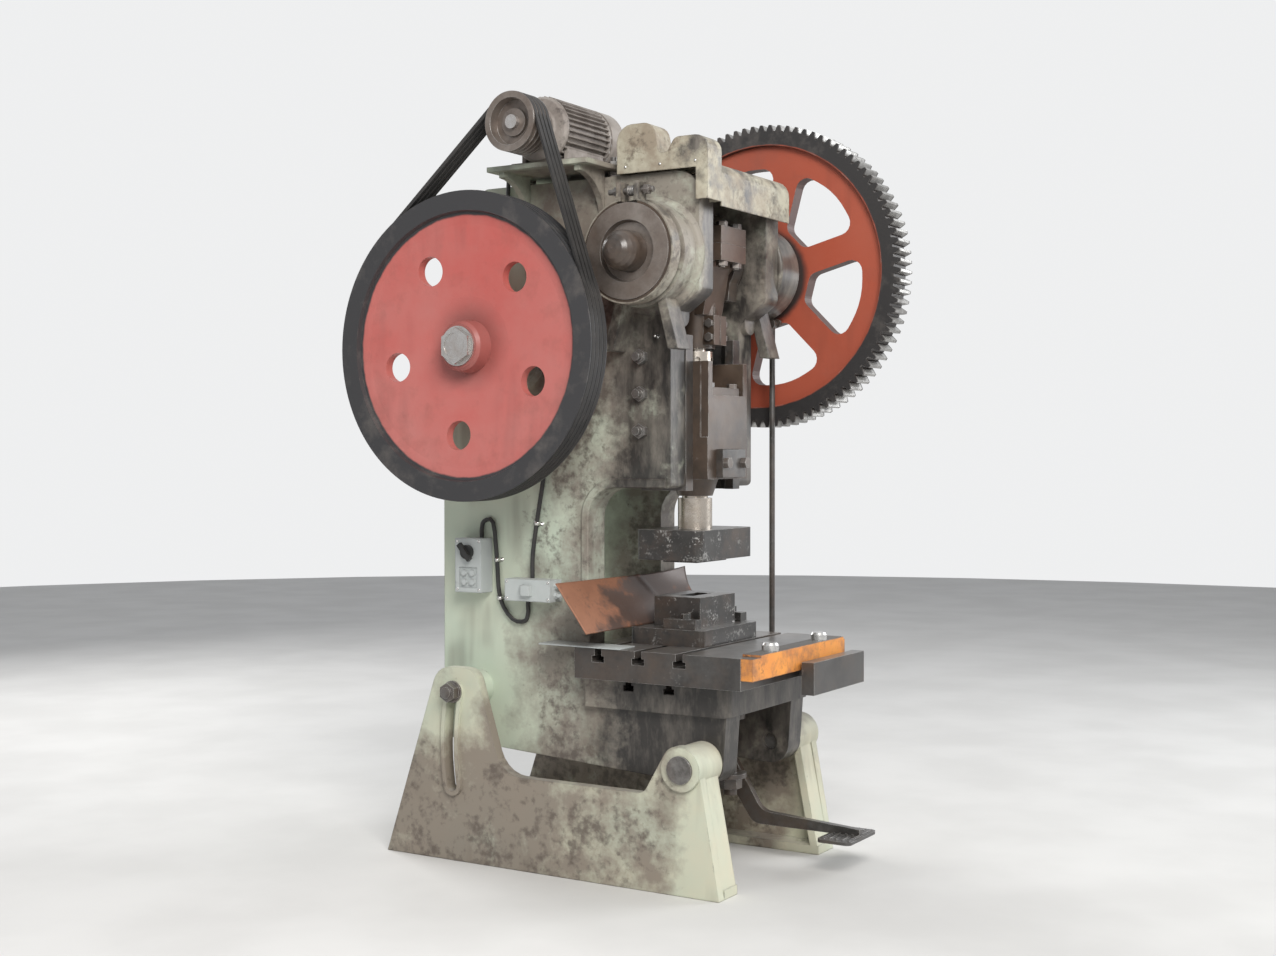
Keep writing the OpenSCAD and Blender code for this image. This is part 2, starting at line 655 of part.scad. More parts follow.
pinion_turn = 180 - gear_line_angle;
bull_turn = -gear_line_angle + 180 / bull_teeth;
gear_bush_d = journal_d + 40;
module bull_gear() {
    tip = gear_module * bull_teeth / 2 + gear_module * 0.95;
    root = gear_module * bull_teeth / 2 - 1.25 * gear_module;
    color(wheel_red) difference() {
        union() {
            along_x(gear_x, gear_x + gear_w) difference() {
                translate([crank_y, crank_h]) polygon(gear_outline(gear_module, bull_teeth, tip, bull_turn));
                translate([crank_y, crank_h]) circle(r = root - 52);
            }
            along_x(gear_mid - gear_web_t / 2, gear_mid + gear_web_t / 2) translate([crank_y, crank_h]) {
                difference() {
                    circle(r = root - 50);
                    for (k = [0:spokes - 1]) polygon(gear_window(-15 + 360 * (k + 0.5) / spokes));
                    circle(r = 80);
                }
            }
            rod_x(gear_x - 4, key_end_x - 6, crank_y, crank_h, gear_hub_d);
        }
        rod_x(gear_x - 5, key_end_x, crank_y, crank_h, gear_bush_d);
    }
}
// Rounded window between two spokes, centred on the angle mid
function gear_window(mid) = rounded([for (q = [[205, -1], [425, -1], [438, 0], [425, 1], [205, 1]])
    let (a = mid + q[1] * (180 / spokes - asin(spoke_w / 2 / q[0]))) q[0] * [cos(a), sin(a)]],
    [40, 45, 300, 45, 40]);
module gear_bush() {
    color(bronze) difference() {
        ring_x(gear_x - 4, key_end_x - 6, crank_y, crank_h, gear_bush_d, journal_d + 2 * run_fit);
        rod_x(gear_x - 5, key_end_x, key_y, crank_h - key_offset, 2 * key_r + 0.6);
    }
}
module crank_end_cap() {
    color(dark_steel) {
        rod_x(key_end_x - 4, key_end_x + 12, crank_y, crank_h, gear_bush_d + 30);
        for (k = [0:5]) translate([key_end_x + 12, crank_y + 62 * cos(60 * k), crank_h + 62 * sin(60 * k)])
            rotate([0, 90, 0]) hex(24, 12);
    }
}
module clutch_key() {
    color(bright_steel) {
        intersection() {
            rod_x(key_x + 0.5, key_end_x - 5, key_y, crank_h - key_offset, 2 * key_r);
            rod_x(key_x, key_end_x, crank_y, crank_h, journal_d - 0.2);
        }
        along_x(key_x + 1, key_x + 15) polygon(rounded([[key_y - key_r / 2, crank_h - key_offset + 6],
            [key_y + key_r / 2, crank_h - key_offset + 6], [key_y + 10, crank_h - 122],
            [key_y - 10, crank_h - 122]], [8, 8, 8, 8]));
    }
}
module clutch_latch() {
    color(dark_steel) difference() {
        union() {
            rod_x(right_boss_x - 38, link_x + link_t, latch_y, latch_h, 20);
            rod_x(link_x, link_x + link_t, latch_y, latch_h, 56);
            along_x(link_x, link_x + link_t) polygon(rounded([[latch_y + 26, latch_h - 20],
                [latch_y + 16, latch_h + 12], [crank_y + 20, crank_h - 128],
                [crank_y - 14, crank_h - 128], [latch_y - 26, latch_h + 8],
                [pull_y - 28, latch_h - 26], [pull_y - 28, latch_h - 54], [latch_y - 8, latch_h - 28]],
                [6, 6, 6, 6, 20, 12, 12, 10]));
        }
        link_slot(latch_h - 40, 8);
    }
}
// Slot for a link pin at the end of a lever arm, with room for the pin out to "out" as the arm swings
module link_slot(z, out) {
    d = link_pin_d + 1.4;
    along_x(link_x - 1, link_x + link_t + 1) translate([pull_y, z]) {
        translate([-out, -d / 2]) square([out + 3, d]);
        for (y = [-out, 3]) translate([y, 0]) circle(d = d);
    }
}
module pull_rod() {
    color(dark_steel) {
        translate([pull_x, pull_y, pedal_h]) cylinder(h = latch_h - 40 - pedal_h, d = pull_rod_d);
        for (z = [pedal_h, latch_h - 40]) {
            rod_x(pull_x - 12, pull_x + 12, pull_y, z, 34);
            rod_x(pull_x, link_x + link_t + 6, pull_y, z, link_pin_d);
        }
    }
}
module pedal_shaft() {
    color(dark_steel) difference() {
        union() {
            rod_x(140, link_x + link_t, pedal_y, pedal_h, 40);
            rod_x(link_x, link_x + link_t, pedal_y, pedal_h, 66);
            along_x(link_x, link_x + link_t) polygon(rounded([[pedal_y, pedal_h + 30], [pull_y, pedal_h + 20],
                [pull_y - 22, pedal_h], [pull_y, pedal_h - 20], [pedal_y, pedal_h - 30]], [8, 8, 10, 8, 8]));
            rod_x(cheek_out + 1, cheek_out + 16, pedal_y, pedal_h, 62);
        }
        link_slot(pedal_h, 3);
    }
}
treadle_y = -870;
treadle_h = 130;
module treadle() {
    color(grease) {
        difference() {
            along_x(150, 176) {
                translate([pedal_y, pedal_h]) circle(r = 40);
                polygon(rounded([[pedal_y - 38, pedal_h + 10], [pedal_y + 38, pedal_h - 10], [-505, treadle_h],
                    [treadle_y - 60, treadle_h], [treadle_y - 60, treadle_h + 24], [-540, treadle_h + 50]],
                    [10, 10, 60, 0, 0, 60]));
            }
            rod_x(149, 177, pedal_y, pedal_h, 40);
        }
        translate([163, treadle_y, treadle_h - 12]) linear_extrude(12)
            polygon(rounded([[-120, -70], [120, -70], [120, 60], [-120, 60]], [20, 20, 20, 20]));
        for (i = [0:4]) translate([60, treadle_y - 60 + i * 24, treadle_h - 0.5]) cube([206, 6, 5.5]);
    }
}

module intermediate_shaft() {
    color(bright_steel) {
        rod_x(-fly_x - 34, fly_mid + 60, shaft_y, shaft_h, 90);
        rod_x(fly_mid + 59, gear_x - 8, shaft_y, shaft_h, shaft_d);
        rod_x(gear_x - 9, gear_x + gear_w + 24, shaft_y, shaft_h, 90);
    }
}
module pinion() {
    pitch = gear_module * pinion_teeth / 2;
    color(bright_steel) difference() {
        union() {
            along_x(gear_x - 5, gear_x + gear_w + 5) translate([shaft_y, shaft_h])
                polygon(gear_outline(gear_module, pinion_teeth, pitch + gear_module, pinion_turn));
            rod_x(gear_x + gear_w + 4, gear_x + gear_w + 18, shaft_y, shaft_h, 130);
        }
        rod_x(gear_x - 6, gear_x + gear_w + 19, shaft_y, shaft_h, 90);
    }
}
module shaft_bearings() {
    color(bright_steel) left_and_right()
        ring_x(shaft_boss_x - 75, shaft_boss_x - 18, shaft_y, shaft_h, shaft_d + 95, shaft_d + 2 * run_fit);
}
module bearing_covers() {
    color(body_green) left_and_right() {
        turned_x(shaft_y, shaft_h) polygon([[shaft_d / 2 + 1, shaft_boss_x - 17.7],
            [shaft_d / 2 + 47, shaft_boss_x - 17.7], [shaft_d / 2 + 47, shaft_boss_x + 0.2],
            [shaft_boss_d / 2 - 4, shaft_boss_x + 0.2],
            [shaft_boss_d / 2 - 4, shaft_boss_x + 12], [shaft_d / 2 + 1, shaft_boss_x + 12]]);
        for (a = [30:60:330]) translate([shaft_boss_x + 12, shaft_y + 121 * cos(a), shaft_h + 121 * sin(a)])
            rotate([0, 90, 0]) hex(19, 8);
    }
}
belt_start = fly_mid - belt_pitch * (belts - 1) / 2;
// Belt section at pitch radius r, or its groove: gap widens it and lift carries its sides on in and out
function belt_section(r, x, gap, lift) = let (e = lift * 3.2 / 11)
    [[r - 6.5 - lift, x - 5.4 + e - gap], [r + 4.5 + lift, x - 8.6 - e - gap],
    [r + 4.5 + lift, x + 8.6 + e + gap], [r - 6.5 - lift, x + 5.4 - e + gap]];
module flywheel() {
    inner = fly_rim_r - fly_rim_depth;
    web_out = fly_mid - 28;
    web_in = fly_mid + 4;
    color(wheel_red) difference() {
        turned_x(shaft_y, shaft_h) polygon([[45, -fly_x - 12], [fly_hub_d / 2 - 10, -fly_x - 12],
            [fly_hub_d / 2, -fly_x], [fly_hub_d / 2 + 6, web_in], [fly_hub_d / 2 + 90, web_in - 12],
            [inner - 40, web_out], [inner, web_out - 6], [inner + 6, -fly_x], [fly_rim_r, -fly_x],
            [fly_rim_r, -fly_x + fly_w], [inner + 6, -fly_x + fly_w], [inner, web_out + fly_web_t],
            [fly_hub_d / 2 + 90, web_in + fly_web_t - 12], [fly_hub_d / 2 + 4, web_in + fly_web_t],
            [fly_hub_d / 2, fly_mid + 56], [45, fly_mid + 56]]);
        for (i = [0:belts - 1]) turned_x(shaft_y, shaft_h)
            polygon(belt_section(fly_pitch_r, belt_start + i * belt_pitch, 0.4, 3));
        for (k = [0:fly_holes - 1])
            let (a = 360 * k / fly_holes + 60, at = fly_hole_r * [cos(a), sin(a)])
            rod_x(-fly_x - 20, -fly_x + fly_w + 20, shaft_y + at.x, shaft_h + at.y, fly_hole_d);
    }
}
module flywheel_nut() {
    color(bright_steel) {
        translate([-fly_x - 12, shaft_y, shaft_h]) rotate([0, -90, 0]) difference() {
            union() {
                cylinder(h = 8, d = 140);
                translate([0, 0, 7]) hex(112, 18);
            }
            translate([0, 0, -1]) cylinder(h = 40, d = 90);
        }
    }
}
belt_span = [motor_back - shaft_y, motor_h - shaft_h];
belt_line = angle_of(belt_span);
belt_lean = acos((fly_pitch_r - pulley_pitch_r) / norm(belt_span));
belt_run = norm(belt_span) * sin(belt_lean);
module one_belt(x) {
    translate([0, shaft_y, shaft_h]) rotate([90, 0, 90]) {
        rotate([0, 0, belt_line + belt_lean]) rotate_extrude(angle = 360 - 2 * belt_lean)
            polygon(belt_section(fly_pitch_r, x, 0, 0));
        for (s = [-1, 1]) rotate([0, 0, belt_line + s * belt_lean]) translate([0, s < 0 ? belt_run : 0, 0])
            rotate([90, 0, 0]) linear_extrude(belt_run) polygon(belt_section(fly_pitch_r, x, 0, 0));
    }
    translate([0, motor_back, motor_h]) rotate([90, 0, 90]) rotate([0, 0, belt_line - belt_lean])
        rotate_extrude(angle = 2 * belt_lean) polygon(belt_section(pulley_pitch_r, x, 0, 0));
}
module v_belts() {
    color(grease) for (i = [0:belts - 1]) one_belt(belt_start + i * belt_pitch);
}

motor_front = -455;
cable_x = -cheek_out - 12;
motor_end = motor_front + motor_len;
module motor_shaft() {
    color(bright_steel) rod_x(-fly_x + 8, motor_end + 30, motor_back, motor_h, motor_shaft_d);
}
module motor_pulley() {
    rim = pulley_pitch_r + 3.5;
    color(dark_steel) difference() {
        turned_x(motor_back, motor_h) polygon([[motor_shaft_d / 2, fly_mid - 26], [48, fly_mid - 26],
            [50, fly_mid - 14], [rim - 26, fly_mid - 14], [rim - 22, -fly_x], [rim, -fly_x], [rim, -fly_x + fly_w],
            [rim - 24, -fly_x + fly_w], [rim - 26, fly_mid + 12], [50, fly_mid + 12], [46, -fly_x + fly_w + 24],
            [motor_shaft_d / 2, -fly_x + fly_w + 24]]);
        for (i = [0:belts - 1]) turned_x(motor_back, motor_h)
            polygon(belt_section(pulley_pitch_r, belt_start + i * belt_pitch, 0.4, 3));
    }
}
box_seat = motor_back + motor_r - 22;
box_at = cable_x - motor_front - 60;
box_low = motor_h - 36;
gland_y = box_seat + 50;
gland_h = box_low - 22.3;
module motor_housing() {
    color([0.45, 0.40, 0.36]) difference() {
        union() {
            rod_x(motor_front + 24, motor_end - 24, motor_back, motor_h, motor_d - 28);
            along_x(motor_front + 34, motor_end - 34) translate([motor_back, motor_h])
                for (k = [0:motor_fins - 1]) rotate(360 * (k + 0.5) / motor_fins)
                    translate([motor_r - 30, -2.2]) square([30, 4.4]);
            turned_x(motor_back, motor_h) polygon([[motor_shaft_d / 2 + 1, motor_front], [70, motor_front],
                [76, motor_front + 8], [motor_r - 12, motor_front + 14],
                [motor_r - 4, motor_front + 24], [motor_r - 4, motor_front + 36],
                [motor_shaft_d / 2 + 1, motor_front + 36]]);
            turned_x(motor_back, motor_h) polygon([[motor_shaft_d / 2 + 1, motor_end - 36],
                [motor_r - 4, motor_end - 36], [motor_r - 4, motor_end - 20],
                [motor_r - 14, motor_end - 6], [motor_shaft_d / 2 + 1, motor_end - 6]]);
            for (s = [-1, 1]) {
                box([motor_front + 40, motor_back + s * 104 - 34, foot_h],
                    [motor_end - 40, motor_back + s * 104 + 34, foot_h + 16]);
                box([motor_front + 50, motor_back + s * 90 - 8, foot_h + 15],
                    [motor_end - 50, motor_back + s * 90 + 8, motor_h - 62]);
            }
        }
        rod_x(motor_front - 1, motor_end, motor_back, motor_h, motor_shaft_d + 2 * run_fit);
        box([motor_front + box_at, box_seat, box_low],
            [motor_front + box_at + 120, box_seat + 100, box_low + 112]);
    }
}
module motor_fan_cover() {
    color([0.40, 0.36, 0.33]) difference() {
        turned_x(motor_back, motor_h) polygon([[motor_r - 4, motor_end - 19], [motor_r, motor_end - 19],
            [motor_r, motor_end + 62], [motor_r - 22, motor_end + 84], [20, motor_end + 84],
            [20, motor_end + 80], [motor_r - 24, motor_end + 80], [motor_r - 4, motor_end + 60]]);
        for (k = [0:11]) translate([0, motor_back, motor_h]) rotate([30 * k, 0, 0])
            box([motor_end + 79, -5, 44], [motor_end + 86, 5, 92]);
    }
}
module terminal_box() {
    x = motor_front + box_at;
    color([0.42, 0.38, 0.35]) {
        box([x, box_seat, box_low], [x + 120, box_seat + 66, box_low + 112]);
        box([x - 6, box_seat + 66, box_low - 6], [x + 126, box_seat + 74, box_low + 118]);
        translate([cable_x, gland_y, box_low - 22]) cylinder(h = 23, d = 30);
    }
}
plate_left = -480;
plate_right = 140;
plate_front = motor_back - 225;
plate_back = motor_back + 200;
stud_x = [-cheek_in - 50, cheek_in - 90];
stud_y = [plate_front + 33, plate_back - 28];
rib_right = -cheek_out - slide_fit;
rib_r = rib_right - plate_left - 20;
module motor_plate() {
    color(body_green) difference() {
        union() {
            box([plate_left, plate_front, foot_h - motor_plate_t], [plate_right, plate_back, foot_h]);
            for (y = [plate_front + 64, plate_back - 40]) translate([0, y, 0]) rotate([90, 0, 0])
                linear_extrude(24) polygon(concat([[rib_right, foot_h - motor_plate_t + 1],
                    [plate_left + 20, foot_h - motor_plate_t + 1]],
                    arc([plate_left + 20, foot_h - 38 - rib_r], rib_r, 90, 0)));
        }
        for (x = stud_x, y = stud_y) translate([x, y, foot_h - motor_plate_t - 1]) cylinder(h = 40, d = 25);
    }
}
module motor_studs() {
    color(dark_steel) for (x = stud_x, y = stud_y) translate([x, y, frame_top]) {
        cylinder(h = plate_rise + motor_plate_t + 34, d = 24);
        hex(38, 12);
        translate([0, 0, plate_rise - 12]) hex(38, 11.8);
        translate([0, 0, plate_rise + motor_plate_t + 0.2]) hex(38, 18);
    }
}

rod_y = crank_y;
big_r = crankpin_d / 2 + 48;
rod_lug_h = 62;
rod_bolt_y = big_r + 8;
rod_bolt_x = 52;
pinch_h = [rod_bottom + 40, rod_bottom + 90];
pinch_y = rod_y - 86;
module connecting_rod() {
    color(grease) difference() {
        union() {
            intersection() {
                rod_x(-big_end_w / 2, big_end_w / 2, rod_y, pin_h, 2 * big_r);
                box([-200, rod_y - 200, pin_h - 200], [200, rod_y + 200, pin_h - 0.2]);
            }
            for (s = [-1, 1]) box([-big_end_w / 2, rod_y + s * (big_r - 8) - 36, pin_h - rod_lug_h],
                [big_end_w / 2, rod_y + s * (big_r - 8) + 36, pin_h - 0.2]);
            translate([0, rod_y, rod_bottom]) cylinder(h = 200, r1 = 72, r2 = 82);
            along_x(-70, 70) polygon([[rod_y - 72, rod_bottom + 120], [rod_y + 72, rod_bottom + 120],
                [rod_y + big_r - 20, pin_h - 40], [rod_y - big_r + 20, pin_h - 40]]);
            box([-46, rod_y - 104, rod_bottom + 12], [46, rod_y - 50, rod_bottom + 118]);
        }
        rod_x(-200, 200, rod_y, pin_h, crankpin_d + 2 * run_fit);
        translate([0, rod_y, rod_bottom - 1]) cylinder(h = 190, d = screw_d + 2 * run_fit);
        box([-3, rod_y - 200, rod_bottom - 1], [3, rod_y, rod_bottom + 150]);
        for (s = [-1, 1]) translate([0, rod_y + s * rod_bolt_y, 0]) for (x = [-rod_bolt_x, rod_bolt_x])
            translate([x, 0, pin_h - 80]) cylinder(h = 90, d = 25);
        for (z = pinch_h) rod_x(-60, 60, pinch_y, z, 19);
    }
}
module rod_cap() {
    color(grease) difference() {
        union() {
            intersection() {
                rod_x(-big_end_w / 2, big_end_w / 2, rod_y, pin_h, 2 * big_r);
                box([-200, rod_y - 200, pin_h + 0.2], [200, rod_y + 200, pin_h + 200]);
            }
            for (s = [-1, 1]) box([-big_end_w / 2, rod_y + s * (big_r - 8) - 36, pin_h + 0.2],
                [big_end_w / 2, rod_y + s * (big_r - 8) + 36, pin_h + rod_lug_h]);
        }
        rod_x(-200, 200, rod_y, pin_h, crankpin_d + 2 * run_fit);
        for (s = [-1, 1]) translate([0, rod_y + s * rod_bolt_y, 0]) for (x = [-rod_bolt_x, rod_bolt_x])
            translate([x, 0, pin_h - 1]) cylinder(h = 90, d = 25);
    }
}
module rod_bolts() {
    color(dark_steel) {
        for (s = [-1, 1], x = [-rod_bolt_x, rod_bolt_x])
            translate([x, rod_y + s * rod_bolt_y, pin_h + rod_lug_h]) {
            bolt(24, 2 * rod_lug_h + 22, 36, 18);
            translate([0, 0, -2 * rod_lug_h - 17]) hex(36, 17);
        }
        for (z = pinch_h) translate([-46, pinch_y, z]) rotate([0, -90, 0]) {
            bolt(18, 110, 28, 13);
            translate([0, 0, -92 - 15]) hex(28, 15);
        }
    }
}
module adjusting_screw() {
    neck_top = slide_top + neck_h;
    collar_low = neck_top + nut_h;
    color(bright_steel) translate([0, rod_y, 0]) {
        translate([0, 0, ball_h]) sphere(d = ball_d);
        translate([0, 0, ball_h]) cylinder(h = neck_top + 2 - ball_h, d = 68);
        translate([0, 0, neck_top]) hex(96, nut_h + 1);
        difference() {
            translate([0, 0, collar_low]) cylinder(h = collar_h, d = collar_d);
            for (a = [0:60:300]) translate([0, 0, collar_low + collar_h / 2]) rotate([90, 0, a + 8])
                translate([0, 0, 44]) cylinder(h = 30, d = 20);
        }
        translate([0, 0, collar_low + collar_h - 1]) cylinder(h = 200, d = screw_d);
    }
}
pocket_r = ball_d / 2 + 3;
retainer_x = [-84, 84];
retainer_y = [slide_front + 30, slide_back - 30];
clamp_bolt_x = 66;
clamp_bolt_h = slide_bottom + 58;
module slide_plan() {
    w = slide_w / 2;
    right = concat([[w, slide_front]], ridge_points(w, 0), [[w, slide_back]]);
    polygon(concat(right, [for (i = [len(right) - 1:-1:0]) [-right[i].x, right[i].y]]));
}
// Vertical slot as long as the crank's throw, which the open ball joint needs
module throw_slot(r, z0, z1) {
    for (s = [0, throw]) translate([0, rod_y + s, z0]) cylinder(h = z1 - z0, r = r);
    box([-r, rod_y, z0], [r, rod_y + throw, z1]);
}
clamp_h = 100;
module slide() {
    color(grease) difference() {
        union() {
            translate([0, 0, slide_bottom]) linear_extrude(slide_body_h) slide_plan();
            intersection() {
                translate([0, 0, slide_top - 1]) linear_extrude(slide_ear_h) slide_plan();
                left_and_right()
                    box([slide_w / 2 - 34, -600, slide_top - 1], [300, 0, slide_top + slide_ear_h]);
            }
            translate([0, rod_y, slide_bottom - 62]) cylinder(h = 63, r1 = 64, r2 = 86);
        }
        throw_slot(pocket_r, ball_h - ball_d / 2 - 0.22 * throw, slide_top + 1);
        translate([0, rod_y, slide_bottom - 63]) cylinder(h = 145, d = shank_d);
        box([-86, slide_front - 1, slide_bottom + 6], [86, rod_y, slide_bottom + clamp_h + 7]);
        for (x = [-clamp_bolt_x, clamp_bolt_x]) translate([x, rod_y + 40, clamp_bolt_h]) rotate([90, 0, 0])
            cylinder(h = 60, d = 24);
        left_and_right() box([slide_w / 2 - 5, slide_front - 1, slide_bottom + 150],
            [slide_w / 2 + 1, slide_front + 30, slide_top + 200]);
        for (x = retainer_x, y = retainer_y) translate([x, y, slide_top - 40]) cylinder(h = 42, d = 22);
    }
}
module shank_clamp() {
    color(grease) difference() {
        box([-85, slide_front - 26, slide_bottom + 6.2], [85, rod_y - 1, slide_bottom + clamp_h + 6]);
        translate([0, rod_y, slide_bottom]) cylinder(h = 200, d = shank_d);
        for (x = [-clamp_bolt_x, clamp_bolt_x]) translate([x, rod_y, clamp_bolt_h]) rotate([90, 0, 0])
            cylinder(h = 200, d = 24);
    }
}
module ball_retainer() {
    color(dark_steel) difference() {
        translate([0, 0, slide_top]) linear_extrude(28) polygon(rounded([[-112, slide_front + 10],
            [112, slide_front + 10], [112, slide_back - 8], [-112, slide_back - 8]], [12, 12, 12, 12]));
        throw_slot(36, slide_top - 1, slide_top + 40);
        for (x = retainer_x, y = retainer_y) translate([x, y, slide_top - 1]) cylinder(h = 42, d = 22);
    }
}
module slide_bolts() {
    color(dark_steel) {
        for (x = retainer_x, y = retainer_y) translate([x, y, slide_top + 28]) bolt(22, 68, 32, 16);
        for (x = [-clamp_bolt_x, clamp_bolt_x])
            translate([x, slide_front - 26, clamp_bolt_h]) rotate([90, 0, 0]) bolt(24, 190, 36, 20);
    }
}
sleeve_bottom = upper_die_bottom + upper_die_t;
module die_shank() {
    color(bright_steel) {
        translate([0, rod_y, sleeve_bottom + 109])
            cylinder(h = slide_bottom + 80 - sleeve_bottom - 109, d = shank_d);
        translate([0, rod_y, sleeve_bottom]) cylinder(h = 110, d = sleeve_d);
    }
}
module upper_die() {
    color(grease) {
        difference() {
            translate([0, rod_y, upper_die_bottom]) linear_extrude(upper_die_t) polygon(rounded(
                [[-upper_die_w / 2, -upper_die_depth / 2], [upper_die_w / 2, -upper_die_depth / 2],
                [upper_die_w / 2, upper_die_depth / 2], [-upper_die_w / 2, upper_die_depth / 2]],
                [30, 30, 30, 30]));
            for (x = [40 - upper_die_w / 2, upper_die_w / 2 - 40])
                translate([x, rod_y - upper_die_depth / 2 + 40, upper_die_bottom - 1])
                    cylinder(h = upper_die_t + 2, d = 30);
        }
        box([-110, rod_y - 70, upper_die_bottom - 12], [110, rod_y + 70, upper_die_bottom]);
    }
}
module lower_die_shoe() {
    color(grease) difference() {
        translate([0, rod_y, bolster_top]) linear_extrude(shoe_t) polygon(rounded(
            [[-shoe_w / 2, -shoe_depth / 2], [shoe_w / 2, -shoe_depth / 2], [shoe_w / 2, shoe_depth / 2],
            [-shoe_w / 2, shoe_depth / 2]], [20, 20, 20, 20]));
        translate([0, rod_y, bolster_top - 1]) cylinder(h = shoe_t + 2, d = 110);
    }
}
module die_block() {
    color(grease) {
        difference() {
            box([-130, rod_y - 95, shoe_top], [130, rod_y + 95, upper_die_bottom - stroke - 14]);
            translate([0, rod_y, shoe_top - 1]) linear_extrude(200) square([140, 60], center = true);
        }
        for (s = [-1, 1]) {
            box([s * 172 - 22, rod_y - 110, shoe_top], [s * 172 + 22, rod_y + 20, shoe_top + 34]);
            translate([s * 172, rod_y - 60, shoe_top + 34]) bolt(16, 30, 30, 20);
        }
    }
}
chute_low = [crank_y + shoe_depth / 2 - 12, shoe_top + 0.2];
chute_high = [throat_y - slide_fit, shoe_top + 172];
module chute_sheet() {
    along = unit(chute_high - chute_low);
    face = chute_t * [-along.y, along.x];
    color([0.55, 0.36, 0.26]) along_x(-520, -520 + chute_w)
        polygon([chute_low, chute_high, chute_high + face, chute_low + face]);
}
bar_front = bolster_front - 46;
module front_bar() {
    bar_end = -bolster_w / 2 + front_bar_w;
    color([0.85, 0.45, 0.15])
        box([-bolster_w / 2, bar_front, bolster_top - 75], [bar_end, bolster_front, bolster_top]);
    color(bright_steel)
        box([-bolster_w / 2 + 60, bar_front, bolster_top],
            [bar_end - 10, bolster_front + 24, bolster_top + 8]);
}
module front_bar_bolts() {
    color(bright_steel) for (x = [-205, 180]) translate([x, bar_front + 34, bolster_top + 8]) {
        rotate_extrude() polygon([[0, 0], [30, 0], [30, 20], [25, 28], [0, 28]]);
    }
}
module stock_rest() {
    color(grease) {
        box([-60, bar_front - 62, bed_h - 48], [364, bar_front - 14, bed_h + 66]);
        for (x = [40, 270]) box([x, bar_front - 14, bed_h + 2], [x + 40, bolster_front, bed_h + 26]);
    }
}
module cushion_rod() {
    bed_under = bed_h - bed_t;
    color(dark_steel) translate([0, crank_y - 146, 0]) {
        translate([0, 0, bed_under - 52]) cylinder(h = 52, d = 108);
        translate([0, 0, bed_under - 328]) cylinder(h = 277, d = 50);
        translate([0, 0, bed_under - 305]) hex(75, 40);
        translate([0, 0, bed_under - 265]) cylinder(h = 16, d = 120);
    }
}
module loose_plate() {
    color(box_grey) box([-bolster_w / 2 - 6, bolster_back - 190, bolster_top],
        [-cheek_out - 2, bolster_back + 150, bolster_top + 5]);
}

module switch_box() {
    face_x = -cheek_out - switch_box_depth;
    color(box_grey) difference() {
        box([face_x, switch_y - switch_box_w / 2, switch_h],
            [-cheek_out, switch_y + switch_box_w / 2, switch_h + switch_box_h]);
        box([face_x - 1, switch_y - 40, switch_h + 18], [face_x + 4, switch_y + 40, switch_h + 92]);
    }
    color(grease) for (y = [-18, 18], z = [38, 72])
        rod_x(face_x - 4, face_x + 5, switch_y + y, switch_h + z, 24);
}
lever_h = switch_h + switch_box_h - 50;
module switch_lever() {
    x = -cheek_out - switch_box_depth - slide_fit;
    color(grease) {
        rod_x(x - 16, x, switch_y, lever_h, 52);
        translate([x, switch_y, lever_h]) rotate([-40, 0, 0]) box([-30, -9, -38], [-15, 9, 38]);
    }
}
module control_box() {
    color(box_grey) box([-cheek_out - 75, control_y - control_box_w / 2, control_h],
        [-cheek_out, control_y + control_box_w / 2, control_h + control_box_h]);
    color(grease)
        box([-cheek_out - 92, control_y - 20, control_h + 20],
            [-cheek_out - 75, control_y + 20, control_h + 60]);
    color(bright_steel) for (z = [22, 58])
        translate([-cheek_out - 38, control_y - control_box_w / 2, control_h + z]) rotate([90, 0, 0]) {
            hex(24, 9);
            cylinder(h = 26, d = 17);
        }
}
// Cables follow [y, z] points on the cheek, and start just clear of their boxes
module cheek_cable(points) {
    color(grease) cable([for (p = smooth([for (q = points) [cable_x, q.x, q.y]], 3)) p], cable_d);
}
module cable_link() {
    top = switch_h + switch_box_h;
    cheek_cable([[switch_y - 20, top + 0.3], [switch_y - 20, top + 16], [switch_y - 20, top + 32],
        [switch_y - 30, top + 62], [switch_y - 72, top + 58], [switch_y - 90, switch_h + 120],
        [switch_y - 104, switch_h - 20], [control_y + 110, control_h - 74], [control_y + 54, control_h - 78],
        [control_y + 40, control_h - 48], [control_y + 40, control_h - 24], [control_y + 40, control_h - 0.3]]);
}
module cable_motor() {
    top = control_h + control_box_h;
    cheek_cable([[control_y + 20, top + 0.3], [control_y + 20, top + 30], [control_y + 20, top + 60],
        [control_y + 10, top + 150], [shaft_y - 160, shaft_h - 340], [shaft_y - 168, shaft_h - 120],
        [shaft_y - 164, shaft_h + 130], [shaft_y - 60, shaft_h + 340], [plate_back + 22, frame_top - 100],
        [plate_back + 24, foot_h - 14], [plate_back + 14, foot_h + 14], [plate_back - 10, foot_h + 26],
        [gland_y + 14, foot_h + 27], [gland_y, gland_h - 21], [gland_y, gland_h - 10], [gland_y, gland_h]]);
}
module crank_guard() {
    roof = frame_top + 32;
    x0 = -cheek_out - 30;
    x1 = -cheek_in - 30;
    tall = frame_top + guard_tall;
    color(cream) {
        difference() {
            along_x(x1 - 1, cheek_out - 8) guard_roof(roof, 0);
            along_x(x1 - 2, cheek_out - 8 - guard_t) guard_roof(roof, guard_t);
            rod_x(-cheek_out, cheek_out, guard_front + 30, frame_top - 140, 60);
        }
        difference() {
            along_x(x0, x1) guard_side(tall, 0);
            along_x(x0 + guard_t, x1 - guard_t) guard_side(tall, guard_t);
        }
    }
    color(grease) translate([x1 + 60, guard_front + 60, roof]) {
        cylinder(h = 26, d = 20);
        translate([0, 0, 25]) sphere(d = 44);
    }
}
